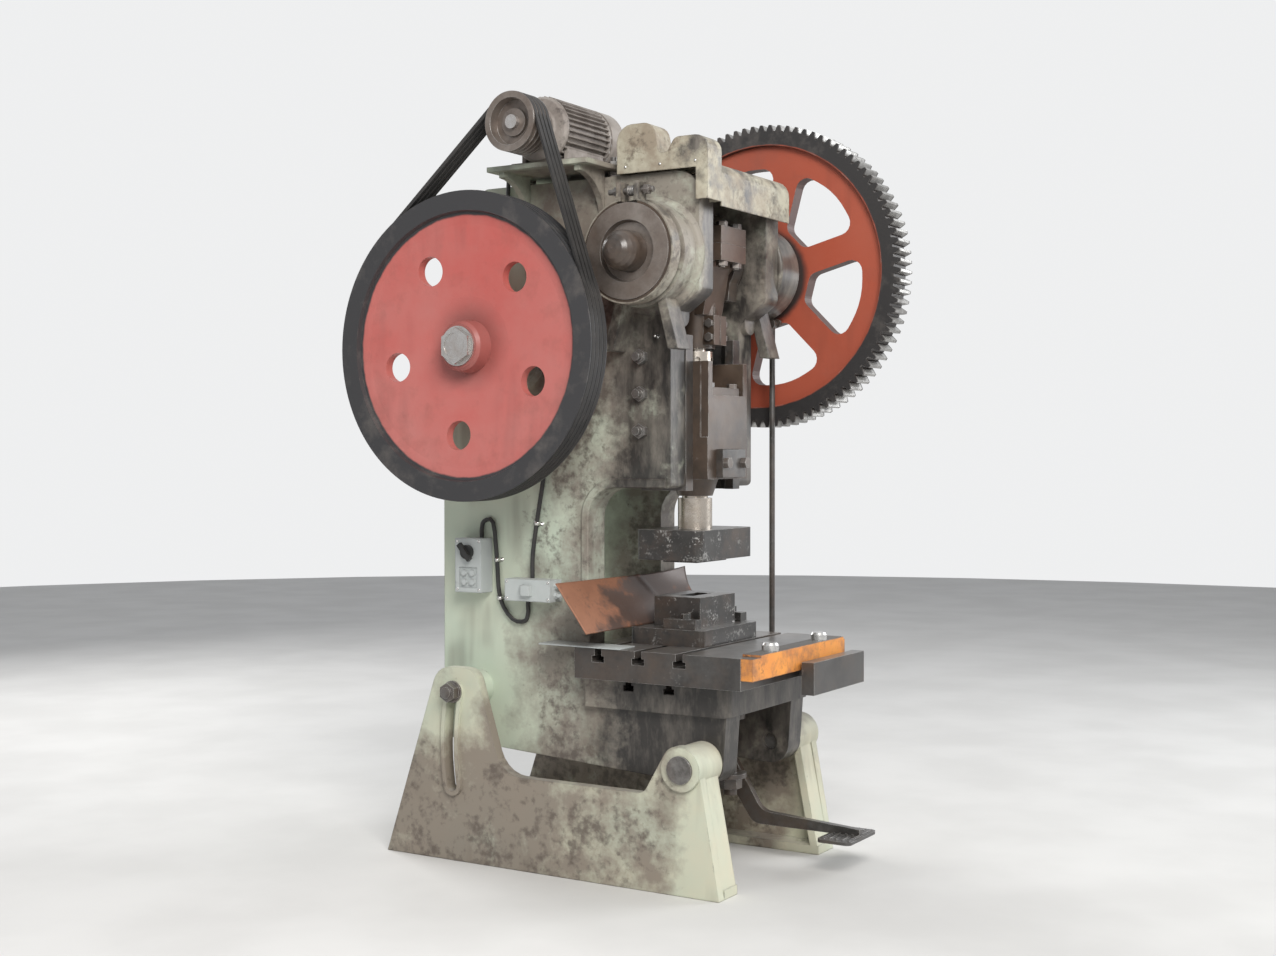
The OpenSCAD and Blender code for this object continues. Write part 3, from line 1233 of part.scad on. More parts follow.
module guard_roof(roof, t) {
    polygon(rounded([[guard_front + t, frame_top - 125 - t * 2], [guard_front + t, roof - t],
        [guard_back - t, roof - t], [guard_back - t, frame_top + (t > 0 ? -5 : 0)],
        [head_front - (t > 0 ? -2 : 3), frame_top + (t > 0 ? -5 : 0)],
        [head_front - 3, frame_top - 125 - t * 2]], [0, 60 - t, 6, 0, 0, 0]));
}
module guard_side(tall, t) {
    below = t > 0 ? 1 : 0;
    polygon(rounded([[guard_front + t, frame_top - 110 - below], [guard_front + t, tall - 60 - t],
        [guard_front + 130 - t, tall - 60 - t], [guard_front + 160 - t, tall - 110 - t],
        [guard_back - 170 + t, tall - 110 - t], [guard_back - 150 + t, tall - t], [guard_back - t, tall - t],
        [guard_back - t, frame_top - below], [head_front - 3 + below, frame_top - below],
        [head_front - 3 + below, frame_top - 110 - below]], [0, 50, 30, 20, 20, 50, 60, 0, 0, 0]));
}

base_casting();
pivot_pins();
frame_casting();
slot_bolts();
bolster_plate();
left_gib();
right_gib();
gib_bolts();
crank_bushes();
crankshaft();
brake_drum();
brake_band();
brake_lining();
brake_bolt();
bull_gear();
gear_bush();
crank_end_cap();
clutch_key();
clutch_latch();
pull_rod();
pedal_shaft();
treadle();
intermediate_shaft();
pinion();
shaft_bearings();
bearing_covers();
flywheel();
flywheel_nut();
v_belts();
motor_shaft();
motor_pulley();
motor_housing();
motor_fan_cover();
terminal_box();
motor_plate();
motor_studs();
connecting_rod();
rod_cap();
rod_bolts();
adjusting_screw();
slide();
ball_retainer();
slide_bolts();
shank_clamp();
die_shank();
upper_die();
lower_die_shoe();
die_block();
chute_sheet();
front_bar();
front_bar_bolts();
stock_rest();
cushion_rod();
switch_box();
switch_lever();
control_box();
cable_link();
cable_motor();
crank_guard();
loose_plate();
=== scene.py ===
# %% [markdown]
# # Dressing an open-back stamping press
# The solids of the press come from its CAD frame, already in metres and in place. This lesson gives them
# their looks: old paint over cast iron, grease, worn steel, rubber and rust. It also adds the thin things
# that a solid model leaves out, such as grease nipples, cable clips, screws and a bent chute sheet.

# %% The press's solids
import math
import bpy
import numpy as np
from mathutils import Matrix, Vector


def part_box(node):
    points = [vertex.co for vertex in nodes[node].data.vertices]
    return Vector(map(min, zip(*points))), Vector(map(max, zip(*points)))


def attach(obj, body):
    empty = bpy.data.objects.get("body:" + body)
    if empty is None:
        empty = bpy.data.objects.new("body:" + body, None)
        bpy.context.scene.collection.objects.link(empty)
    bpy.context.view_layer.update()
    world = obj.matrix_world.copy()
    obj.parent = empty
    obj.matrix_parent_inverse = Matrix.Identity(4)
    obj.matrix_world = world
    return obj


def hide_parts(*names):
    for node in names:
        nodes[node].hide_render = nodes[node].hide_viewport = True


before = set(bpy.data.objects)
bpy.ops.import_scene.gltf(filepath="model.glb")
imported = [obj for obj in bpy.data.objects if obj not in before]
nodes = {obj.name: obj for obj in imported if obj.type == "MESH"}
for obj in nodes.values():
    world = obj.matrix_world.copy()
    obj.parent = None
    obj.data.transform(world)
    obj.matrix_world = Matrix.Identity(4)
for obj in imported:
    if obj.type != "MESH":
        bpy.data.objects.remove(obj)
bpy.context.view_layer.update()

# %% [markdown]
# ## Where the photographer stands
# The photograph was taken at eye height, far off to the flywheel's side and a little in front. The camera
# keeps that place, so the front, the left side and the gear's rim show as they do there. A longer lens
# brings the press closer without changing its perspective.

# %% Camera
def look_from(place, target, lens):
    """A camera at place turned to target: its -Z runs along target minus place, and its Y stays upward."""
    data = bpy.data.cameras.new("photo_camera")
    data.lens = lens
    data.sensor_width = 36.0
    data.clip_end = 60.0
    camera = bpy.data.objects.new("photo_camera", data)
    bpy.context.collection.objects.link(camera)
    here, there = np.array(place), np.array(target)
    away = (there - here) / np.linalg.norm(there - here)
    camera.location = place
    camera.rotation_euler = (math.asin(away[2]) + math.pi / 2, 0.0, math.atan2(-away[0], away[1]))
    return camera


bpy.context.scene.camera = look_from((-5.29, -3.336, 1.5), (0.0, -0.10, 1.40), 47.0)
bpy.context.scene.view_settings.view_transform = "Standard"

# %% [markdown]
# ## Short ways to write a node tree
# A material is a tree of nodes. Written out in full, each node takes many lines, so two helpers shorten
# them: one adds a node and fills its sockets, and the other opens a group with named inputs and outputs.
# A socket is filled with a number, a colour or the output of another node.

# %% Helpers for node trees
def put(tree, kind, fill=None, **settings):
    """Adds one node. fill maps a socket's name or number to a value or to another node's output."""
    made = tree.nodes.new(kind)
    for name, value in settings.items():
        setattr(made, name, value)
    for key, value in (fill or {}).items():
        socket = made.inputs[key]
        if isinstance(value, bpy.types.NodeSocket):
            tree.links.new(value, socket)
        else:
            socket.default_value = value
    return made


def calc(tree, operation, a, b=0.0, clamp=False):
    """One sum on two numbers: operation is the Math node's own word."""
    return put(tree, "ShaderNodeMath", {0: a, 1: b}, operation=operation, use_clamp=clamp).outputs[0]


def times(tree, a, b):
    """The product of two masks, or of a mask and a number."""
    return calc(tree, "MULTIPLY", a, b)


def step(tree, value, low, high, out_low=0.0, out_high=1.0):
    """Maps value from low..high to out_low..out_high and holds it there, with soft ends."""
    made = put(tree, "ShaderNodeMapRange", {"Value": value, "From Min": low, "From Max": high,
                                            "To Min": out_low, "To Max": out_high},
               interpolation_type="SMOOTHSTEP")
    return made.outputs["Result"]


def blend_colour(tree, mask, first, second):
    """Colour that goes from first to second as mask goes from 0 to 1."""
    made = put(tree, "ShaderNodeMix", data_type="RGBA")
    for socket, value in ((made.inputs["Factor"], mask), (made.inputs[6], first), (made.inputs[7], second)):
        if isinstance(value, bpy.types.NodeSocket):
            tree.links.new(value, socket)
        else:
            socket.default_value = value
    return made.outputs[2]


def open_group(name, inputs, outputs):
    """A shader group with its sockets: each entry is (name, kind, default)."""
    tree = bpy.data.node_groups.new(name, "ShaderNodeTree")
    for label, kind, default in inputs:
        socket = tree.interface.new_socket(label, in_out="INPUT", socket_type=kind)
        if default is not None:
            socket.default_value = default
    for label, kind in outputs:
        tree.interface.new_socket(label, in_out="OUTPUT", socket_type=kind)
    return tree, tree.nodes.new("NodeGroupInput").outputs, tree.nodes.new("NodeGroupOutput").inputs


def use_group(tree, name, fill=None):
    """Places a finished group in a tree and fills its sockets."""
    made = tree.nodes.new("ShaderNodeGroup")
    made.node_tree = bpy.data.node_groups[name]
    for key, value in (fill or {}).items():
        if isinstance(value, bpy.types.NodeSocket):
            tree.links.new(value, made.inputs[key])
        else:
            made.inputs[key].default_value = value
    return made.outputs


FLOAT, VECTOR = "NodeSocketFloat", "NodeSocketVector"

# %% [markdown]
# ## Patches of grease, chipped paint and stains
# Dirt on a machine comes in patches of every size at once. A fractal noise has that look: its octaves
# add small spots to large ones. A second, coarser noise makes some areas dirtier than others, so that
# the patches don't spread evenly as wallpaper would.

# %% Group: patches
tree, given, result = open_group("patches", [("Point", VECTOR, None), ("Size", FLOAT, 0.05),
                                             ("Amount", FLOAT, 0.5),
                                             ("Edge", FLOAT, 0.08), ("Seed", FLOAT, 0.0)], [("Mask", FLOAT)])
scale = calc(tree, "DIVIDE", 1.0, given["Size"])
fine = put(tree, "ShaderNodeTexNoise", {"Vector": given["Point"], "W": given["Seed"], "Scale": scale,
                                        "Detail": 7.0,
                                        "Roughness": 0.66}, noise_dimensions="4D").outputs["Fac"]
broad = put(tree, "ShaderNodeTexNoise", {"Vector": given["Point"], "W": given["Seed"],
                                         "Scale": times(tree, scale, 0.21), "Detail": 2.0},
            noise_dimensions="4D").outputs["Fac"]
level = calc(tree, "ADD", times(tree, fine, 0.62), times(tree, broad, 0.38))
wanted = step(tree, given["Amount"], 0.0, 1.0, 0.72, 0.28)
rise = calc(tree, "DIVIDE", calc(tree, "SUBTRACT", level, wanted), given["Edge"])
tree.links.new(calc(tree, "ADD", rise, 0.5, clamp=True), result["Mask"])

# %% [markdown]
# ## Oil that has run down
# Oil runs straight down, so its stains are long and thin. The same noise does for them, squeezed: the
# point's height is divided by about ten before the noise reads it, which stretches every spot into
# a streak. A second noise, not squeezed, keeps the streaks to a few places, where a bearing leaks.

# %% Group: oil runs
tree, given, result = open_group("oil_runs", [("Point", VECTOR, None), ("Width", FLOAT, 0.03),
                                              ("Amount", FLOAT, 0.5),
                                              ("Edge", FLOAT, 0.15)], [("Mask", FLOAT)])
squeezed = put(tree, "ShaderNodeVectorMath", {0: given["Point"], 1: (1.0, 1.0, 0.10)},
               operation="MULTIPLY").outputs[0]
streak = put(tree, "ShaderNodeTexNoise", {"Vector": squeezed,
                                          "Scale": calc(tree, "DIVIDE", 1.0, given["Width"]),
                                          "Detail": 2.0, "Roughness": 0.5}).outputs["Fac"]
wanted = step(tree, given["Amount"], 0.0, 1.0, 0.70, 0.34)
rise = calc(tree, "DIVIDE", calc(tree, "SUBTRACT", streak, wanted), given["Edge"])
leaks = put(tree, "ShaderNodeTexNoise", {"Vector": given["Point"], "Scale": 2.6,
                                         "Detail": 2.0}).outputs["Fac"]
run = calc(tree, "ADD", rise, 0.5, clamp=True)
tree.links.new(times(tree, run, step(tree, leaks, 0.50, 0.62)), result["Mask"])

# %% [markdown]
# ## Edges that hands and tools have rubbed
# Paint goes first on outer edges. A Bevel node rounds the normal near an edge, so the more it differs
# from the true normal, the nearer an edge is. Noise breaks the line up, because real wear comes in
# short runs.

# %% Group: rubbed edges
tree, given, result = open_group("rubbed_edges", [("Point", VECTOR, None), ("Reach", FLOAT, 0.004),
                                                  ("Amount", FLOAT, 0.5)],
                                 [("Mask", FLOAT)])
rounded = put(tree, "ShaderNodeBevel", {"Radius": given["Reach"]}, samples=3).outputs["Normal"]
plain = put(tree, "ShaderNodeNewGeometry").outputs["Normal"]
turn = put(tree, "ShaderNodeVectorMath", {0: rounded, 1: plain}, operation="DOT_PRODUCT").outputs["Value"]
edge = step(tree, turn, 0.985, 0.86)
breaks = put(tree, "ShaderNodeTexNoise", {"Vector": given["Point"], "Scale": 23.0,
                                          "Detail": 5.0}).outputs["Fac"]
kept = step(tree, calc(tree, "ADD", breaks, given["Amount"]), 0.86, 1.10)
tree.links.new(calc(tree, "MULTIPLY", edge, kept, clamp=True), result["Mask"])

# %% [markdown]
# ## Dust that settles on top
# Dust lies on what faces up. The normal's height is 1 on a floor and 0 on a wall, so a soft step on it
# finds the ledges, and noise thins the layer here and there.

# %% Group: settled dust
tree, given, result = open_group("settled_dust", [("Point", VECTOR, None), ("Amount", FLOAT, 0.5)],
                                 [("Mask", FLOAT)])
height = put(tree, "ShaderNodeSeparateXYZ", {0: put(tree,
                                                    "ShaderNodeNewGeometry").outputs["Normal"]}).outputs["Z"]
thin = put(tree, "ShaderNodeTexNoise", {"Vector": given["Point"], "Scale": 9.0, "Detail": 6.0}).outputs["Fac"]
layer = times(tree, step(tree, height, 0.45, 0.95), step(tree, thin, 0.25, 0.75, 0.35, 1.0))
tree.links.new(calc(tree, "MULTIPLY", layer, given["Amount"], clamp=True), result["Mask"])

# %% [markdown]
# ## The skin of a sand casting
# Cast iron keeps the print of the sand it was poured in: a fine pebbly skin with shallow hollows a few
# centimetres wide. Two noises of very different size make that height, which the Bump node reads.

# %% Group: sand skin
tree, given, result = open_group("sand_skin", [("Point", VECTOR, None), ("Pebble", FLOAT, 0.004)],
                                 [("Height", FLOAT)])
pebbles = put(tree, "ShaderNodeTexNoise", {"Vector": given["Point"],
                                           "Scale": calc(tree, "DIVIDE", 1.0, given["Pebble"]),
                                           "Detail": 3.0}).outputs["Fac"]
hollows = put(tree, "ShaderNodeTexNoise", {"Vector": given["Point"], "Scale": 14.0,
                                           "Detail": 2.0}).outputs["Fac"]
tree.links.new(calc(tree, "ADD", times(tree, pebbles, 0.35), hollows), result["Height"])

# %% [markdown]
# ## Distance from a wheel's axis
# On a wheel the colour changes with the radius: a red web, a black rim, bright teeth. The wheels here
# turn about lines along X, so the radius is the length of the point's Y and Z taken from the axis.

# %% Group: wheel radius
tree, given, result = open_group("wheel_radius", [("Point", VECTOR, None), ("Axis Y", FLOAT, 0.0),
                                                  ("Axis Z", FLOAT, 0.0)],
                                 [("Radius", FLOAT)])
parts = put(tree, "ShaderNodeSeparateXYZ", {0: given["Point"]}).outputs
flat = put(tree, "ShaderNodeCombineXYZ", {"X": 0.0, "Y": calc(tree, "SUBTRACT", parts["Y"], given["Axis Y"]),
                                          "Z": calc(tree, "SUBTRACT", parts["Z"],
                                                    given["Axis Z"])}).outputs[0]
tree.links.new(put(tree, "ShaderNodeVectorMath", {0: flat}, operation="LENGTH").outputs["Value"],
               result["Radius"])
print("groups:", [g.name for g in bpy.data.node_groups])

# %% [markdown]
# ## One recipe, many finishes
# Every finish starts as a Principled shader that reads the object's own coordinates. `begin` opens it and
# `close` joins up the colour, roughness, metal and bump once they are worked out.

# %% Opening and closing a finish
finishes = {}


def begin(name):
    """A new material: returns its tree, its Principled shader and the point that its patterns read."""
    material = bpy.data.materials.new(name)
    material.use_nodes = True
    tree = material.node_tree
    tree.nodes.clear()
    shader = tree.nodes.new("ShaderNodeBsdfPrincipled")
    out = tree.nodes.new("ShaderNodeOutputMaterial")
    tree.links.new(shader.outputs[0], out.inputs[0])
    finishes[name] = material
    return tree, shader, tree.nodes.new("ShaderNodeTexCoord").outputs["Object"]


def close(tree, shader, colour, roughness, metal, height, strength=0.3, depth=0.002, soft=0.0):
    """Joins a finish's parts to its shader. height goes through a Bump node of the given strength and depth.
    soft is the radius to which edges are rounded for the light, as a casting's or a worn piece's are."""
    tilt = {"Normal": put(tree, "ShaderNodeBevel", {"Radius": soft},
                          samples=3).outputs["Normal"]} if soft else {}
    tilt.update({"Height": height, "Strength": strength, "Distance": depth})
    bump = put(tree, "ShaderNodeBump", tilt).outputs["Normal"]
    for label, value in (("Base Color", colour), ("Roughness", roughness), ("Metallic", metal),
                         ("Normal", bump)):
        if isinstance(value, bpy.types.NodeSocket):
            tree.links.new(value, shader.inputs[label])
        else:
            shader.inputs[label].default_value = value


def patch_mask(tree, point, size, amount, edge, seed):
    """Blotches about size across that cover about amount of the surface, with an edge that soft."""
    return use_group(tree, "patches", {"Point": point, "Size": size, "Amount": amount, "Edge": edge,
                                       "Seed": seed})["Mask"]


def rgb(r, g, b):
    """A colour with full cover."""
    return (r, g, b, 1.0)


def reach(tree, point, direction, low, high):
    """How far a point is along direction, by their dot product: 0 at low, 1 at high."""
    along = put(tree, "ShaderNodeVectorMath", {0: point, 1: direction},
                operation="DOT_PRODUCT").outputs["Value"]
    return step(tree, along, low, high)

# %% [markdown]
# ## Old paint on castings
# The frame, the base and the covers are painted cast iron that nobody has cleaned for years. From the
# inside out there is dark iron, paint that has yellowed in places, brown stains where hands and oil have
# been, grease that is black when wet and brown-grey when dry, and dust on the ledges. Each layer is a
# colour and a mask. Grease covers the front of the press and thins out towards its back, so its amount
# comes from the point's own place.

# %% Painted castings
def old_paint(name, paint, faded, stain, stain_amount, grease_amount, runs=0.35, dust=0.4, chip=0.35,
              size=0.16, seed=0.0, soft=0.006, bare_top=0.0):
    """Painted cast iron. stain_amount and grease_amount may be numbers or sockets between 0 and 1. bare_top
    is how far faces that look up are worn to the metal."""
    tree, shader, point = begin(name)
    grease_amount = grease_amount(tree, point) if callable(grease_amount) else grease_amount
    stain_amount = stain_amount(tree, point) if callable(stain_amount) else stain_amount
    faded_mask = patch_mask(tree, point, size * 2.2, 0.5, 0.30, seed + 1.3)
    stain_mask = patch_mask(tree, point, size, stain_amount, 0.16, seed)
    speck_mask = patch_mask(tree, point, size * 0.22, times(tree, stain_amount, 0.72), 0.10, seed + 4.0)
    grease_mask = patch_mask(tree, point, size * 0.8, grease_amount, 0.12, seed + 7.0)
    run_mask = times(tree, use_group(tree, "oil_runs",
                                                {"Point": point, "Width": size * 0.4, "Amount": 0.5,
                                                 "Edge": 0.25})["Mask"], runs)
    chip_mask = use_group(tree, "rubbed_edges", {"Point": point, "Reach": 0.006, "Amount": chip})["Mask"]
    dust_mask = use_group(tree, "settled_dust", {"Point": point, "Amount": dust})["Mask"]
    colour = blend_colour(tree, faded_mask, rgb(*paint), rgb(*faded))
    colour = blend_colour(tree, times(tree, stain_mask, 0.85), colour, rgb(*stain))
    colour = blend_colour(tree, times(tree, speck_mask, 0.8), colour,
                          rgb(stain[0] * 0.5, stain[1] * 0.5, stain[2] * 0.5))
    colour = blend_colour(tree, run_mask, colour, rgb(stain[0] * 0.55, stain[1] * 0.5, stain[2] * 0.45))
    colour = blend_colour(tree, chip_mask, colour, rgb(0.15, 0.14, 0.13))
    if bare_top > 0.0:
        upward = put(tree, "ShaderNodeTexCoord").outputs["Normal"]
        facing_up = step(tree, put(tree, "ShaderNodeSeparateXYZ", {0: upward}).outputs["Z"], 0.50, 0.90)
        worn_mask = patch_mask(tree, point, size, bare_top, 0.12, seed + 17.0)
        worn_top = times(tree, facing_up, worn_mask)
        colour = blend_colour(tree, worn_top, colour, rgb(0.070, 0.064, 0.058))
    colour = blend_colour(tree, dust_mask, colour, rgb(0.36, 0.34, 0.31))
    streak_point = put(tree, "ShaderNodeVectorMath", {0: point, 1: (1.0, 1.0, 0.30)},
                       operation="MULTIPLY").outputs["Vector"]
    dried_mask = patch_mask(tree, streak_point, size * 0.26, 0.44, 0.20, seed + 9.0)
    grease_colour = blend_colour(tree, dried_mask, rgb(0.022, 0.020, 0.019), rgb(0.165, 0.146, 0.126))
    colour = blend_colour(tree, times(tree, grease_mask, 0.95), colour, grease_colour)
    roughness = step(tree, calc(tree, "ADD", grease_mask, times(tree, speck_mask, 0.2)), 0.0,
                     1.0, 0.56, 0.36)
    metal = times(tree, chip_mask, 0.6)
    skin = use_group(tree, "sand_skin", {"Point": point, "Pebble": 0.005})["Height"]
    height = calc(tree, "SUBTRACT", calc(tree, "ADD", skin, times(tree, grease_mask, 0.6)),
                  times(tree, chip_mask, 0.5))
    close(tree, shader, colour, roughness, metal, height, 0.35, 0.0022, soft)


def high_left(tree, point):
    """1 on the outside of the left cheek above the guides, where hands wipe the paint, and 0 elsewhere."""
    outside = reach(tree, point, (-1.0, 0.0, 0.0), 0.25, 0.30)
    return times(tree, outside, reach(tree, point, (0.0, 0.0, 1.0), 1.92, 2.10))


def front_grease(tree, point):
    """Grease on the frame: heavy in front, fading to nothing near the back, thick where the gear and its
    clutch throw it, and almost none on the bed's lower flanks."""
    forward = reach(tree, point, (0.0, -1.0, 0.0), -0.22, 0.42)
    low = reach(tree, point, (0.0, 0.0, -1.0), -2.3, -1.3)
    geared = times(tree, reach(tree, point, (1.0, 0.0, 0.0), 0.29, 0.36),
                  reach(tree, point, (0.0, 0.0, 1.0), 1.85, 2.05))
    total = calc(tree, "ADD", times(tree, forward, 0.68), times(tree, low, 0.16))
    spared = calc(tree, "SUBTRACT", 1.0, times(tree, high_left(tree, point), 0.50))
    heavy = calc(tree, "ADD", total, times(tree, geared, 0.55))
    return step(tree, times(tree, heavy, spared), 0.0, 1.0, 0.04, 0.76)


def front_stain(tree, point):
    """Brown stain on the frame: the whole front and the lower half, least at the back of the cheeks."""
    forward = reach(tree, point, (0.0, -1.0, 0.0), -0.52, 0.10)
    spared = calc(tree, "SUBTRACT", 1.0, times(tree, high_left(tree, point), 0.24))
    return step(tree, times(tree, forward, spared), 0.0, 1.0, 0.16, 0.62)


def leg_stain(tree, point):
    """Brown stain on the base: most on the low side beams, least on the front flanges and the rear arms."""
    inward = reach(tree, point, (0.0, 1.0, 0.0), -0.66, -0.42)
    outer = reach(tree, point, (0.0, -1.0, 0.0), -0.40, -0.16)
    lower = reach(tree, point, (0.0, 0.0, -1.0), -0.60, -0.30)
    beam = times(tree, inward, calc(tree, "MAXIMUM", outer, lower))
    return step(tree, beam, 0.0, 1.0, 0.24, 0.60)


old_paint("frame_paint", (0.50, 0.58, 0.47), (0.58, 0.60, 0.48), (0.21, 0.17, 0.145), front_stain,
          front_grease, runs=0.40, size=0.17)
old_paint("base_paint", (0.62, 0.57, 0.43), (0.50, 0.56, 0.45), (0.21, 0.165, 0.135), leg_stain, 0.20,
          runs=0.30, dust=0.55, size=0.15, seed=3.0)
old_paint("cover_paint", (0.52, 0.57, 0.46), (0.58, 0.56, 0.44), (0.26, 0.21, 0.16), 0.44, 0.30, runs=0.15,
          size=0.10, seed=5.0)
old_paint("band_paint", (0.40, 0.38, 0.31), (0.33, 0.30, 0.25), (0.19, 0.155, 0.125), 0.56, 0.40, runs=0.15,
          size=0.07, seed=7.0)
old_paint("guard_paint", (0.53, 0.495, 0.385), (0.47, 0.455, 0.36), (0.26, 0.205, 0.15), 0.52, 0.38,
          runs=0.30, dust=0.3, chip=0.4, size=0.10, seed=9.0)
old_paint("motor_paint", (0.27, 0.23, 0.205), (0.34, 0.31, 0.28), (0.13, 0.105, 0.09), 0.45, 0.18, runs=0.2,
          dust=0.8, size=0.09, seed=11.0)
old_paint("box_paint", (0.50, 0.53, 0.52), (0.44, 0.47, 0.46), (0.20, 0.19, 0.18), 0.28, 0.10, runs=0.3,
          size=0.05, seed=13.0)
old_paint("orange_paint", (0.80, 0.33, 0.06), (0.72, 0.26, 0.05), (0.28, 0.12, 0.06), 0.44, 0.24, runs=0.0,
          dust=0.2, chip=0.55, size=0.05, seed=15.0, bare_top=0.80)
print("painted finishes:", len(finishes))

# %% [markdown]
# ## Iron and steel under grease
# The slide, its guides, the tools and the brake carry no paint that shows. They are iron or steel under a
# film of grease, nearly black, with brown where it has dried, lighter where chips and dust stick to it,
# and bright metal on rubbed edges. A coat makes the wet gloss of the film.

# %% Greasy iron
def greasy(name, metal_colour, film, film_amount, brown=0.35, bright=0.5, rough=0.42, size=0.06, seed=0.0,
           dust=0.25, chips=None):
    """Bare iron or steel under a broken film of grease, with bright metal chips where chips says how many."""
    tree, shader, point = begin(name)
    film_mask = patch_mask(tree, point, size, film_amount, 0.22, seed)
    brown_mask = patch_mask(tree, point, size * 1.7, brown, 0.2, seed + 2.0)
    crumb_mask = patch_mask(tree, point, size * 0.16, 0.28, 0.06, seed + 5.0)
    edge_mask = use_group(tree, "rubbed_edges", {"Point": point, "Reach": 0.003, "Amount": bright})["Mask"]
    dust_mask = use_group(tree, "settled_dust", {"Point": point, "Amount": dust})["Mask"]
    colour = blend_colour(tree, film_mask, rgb(*metal_colour), rgb(*film))
    colour = blend_colour(tree, times(tree, brown_mask, 0.7), colour, rgb(0.115, 0.078, 0.056))
    colour = blend_colour(tree, times(tree, crumb_mask, 0.5), colour, rgb(0.24, 0.225, 0.205))
    colour = blend_colour(tree, dust_mask, colour, rgb(0.27, 0.25, 0.23))
    if chips is not None:
        heap_mask = patch_mask(tree, point, 0.08, 0.46, 0.14, seed + 31.0)
        flake_mask = patch_mask(tree, point, 0.010, chips, 0.03, seed + 33.0)
        edge_mask = calc(tree, "MAXIMUM", edge_mask, times(tree, heap_mask, flake_mask))
    colour = blend_colour(tree, edge_mask, colour, rgb(0.46, 0.45, 0.43))
    roughness = calc(tree, "ADD", step(tree, film_mask, 0.0, 1.0, rough, rough - 0.10),
                     times(tree, crumb_mask, 0.3))
    metal = calc(tree, "SUBTRACT", 0.75, times(tree, calc(tree, "MAXIMUM", film_mask, dust_mask),
                                              0.65), clamp=True)
    height = calc(tree, "ADD", use_group(tree, "sand_skin", {"Point": point, "Pebble": 0.004})["Height"],
                  calc(tree, "ADD", times(tree, film_mask, 0.4),
                       times(tree, crumb_mask, 0.4)))
    shader.inputs["Coat Weight"].default_value = 0.25
    shader.inputs["Coat Roughness"].default_value = 0.28
    close(tree, shader, colour, roughness, metal, height, 0.32, 0.0016, 0.003)


greasy("slide_iron", (0.085, 0.072, 0.060), (0.024, 0.020, 0.017), 0.58, brown=0.56, seed=1.0)
greasy("tool_iron", (0.080, 0.076, 0.072), (0.024, 0.022, 0.020), 0.60, brown=0.4, size=0.05, seed=4.0,
       chips=0.41,
       dust=0.35)
greasy("guide_steel", (0.15, 0.145, 0.14), (0.030, 0.028, 0.026), 0.58, brown=0.42, seed=8.0)
greasy("fastener_steel", (0.24, 0.23, 0.22), (0.06, 0.055, 0.05), 0.45, brown=0.5, bright=0.7, size=0.03,
       seed=12.0)
greasy("brake_iron", (0.30, 0.26, 0.23), (0.105, 0.086, 0.074), 0.46, brown=0.44, size=0.05, seed=16.0,
       dust=0.4)
greasy("table_steel", (0.11, 0.105, 0.100), (0.032, 0.029, 0.027), 0.56, brown=0.46, bright=0.6, rough=0.40,
       size=0.07, seed=20.0, dust=0.45)
greasy("crank_iron", (0.12, 0.11, 0.105), (0.025, 0.022, 0.020), 0.62, brown=0.5, size=0.05, seed=24.0)

# %% [markdown]
# ## Turned steel
# A lathe leaves fine rings round a shaft, and use polishes it. Along the shaft the height is a quick
# wave, broken by noise, and thin grey-brown smears dull it in places.

# %% Bright turned steel
def turned(name, steel, smear, axis, ring=900.0, rough=0.24, size=0.03, amount=0.36, seed=0.0):
    """Machined steel with rings across axis: the height is the sine of the distance along the axis."""
    tree, shader, point = begin(name)
    along = put(tree, "ShaderNodeVectorMath", {0: point, 1: axis}, operation="DOT_PRODUCT").outputs["Value"]
    jitter = put(tree, "ShaderNodeTexNoise", {"Vector": point, "Scale": 60.0, "Detail": 2.0}).outputs["Fac"]
    wave = calc(tree, "SINE", calc(tree, "ADD", times(tree, along, ring * 2.0),
                                   times(tree, jitter, 5.0)))
    smear_mask = patch_mask(tree, point, size, amount, 0.25, seed)
    edge_mask = use_group(tree, "rubbed_edges", {"Point": point, "Reach": 0.002, "Amount": 0.6})["Mask"]
    colour = blend_colour(tree, smear_mask, rgb(*steel), rgb(*smear))
    colour = blend_colour(tree, edge_mask, colour, rgb(0.72, 0.71, 0.69))
    roughness = step(tree, smear_mask, 0.0, 1.0, rough, rough + 0.22)
    metal = step(tree, smear_mask, 0.0, 1.0, 0.95, 0.35)
    height = calc(tree, "ADD", times(tree, wave, 0.15), times(tree, smear_mask, 0.6))
    close(tree, shader, colour, roughness, metal, height, 0.25, 0.0006)


turned("screw_steel", (0.58, 0.52, 0.45), (0.24, 0.18, 0.13), (0.0, 0.0, 1.0), seed=2.0)
turned("shaft_steel", (0.58, 0.56, 0.54), (0.26, 0.22, 0.20), (1.0, 0.0, 0.0), seed=6.0)
turned("bolt_steel", (0.70, 0.69, 0.67), (0.34, 0.32, 0.30), (0.0, 0.0, 1.0), size=0.02, amount=0.25,
       seed=9.0)
turned("bearing_bronze", (0.52, 0.36, 0.16), (0.16, 0.11, 0.07), (1.0, 0.0, 0.0), amount=0.5, seed=14.0)

# %% [markdown]
# ## The flywheel's red face and black rim
# The flywheel is one casting. Its dished face was painted red and has gone pink with dust. The rim,
# which the belts run on, is black with rubber and oil. The radius tells them apart, with a slightly
# wavy brush line between them.

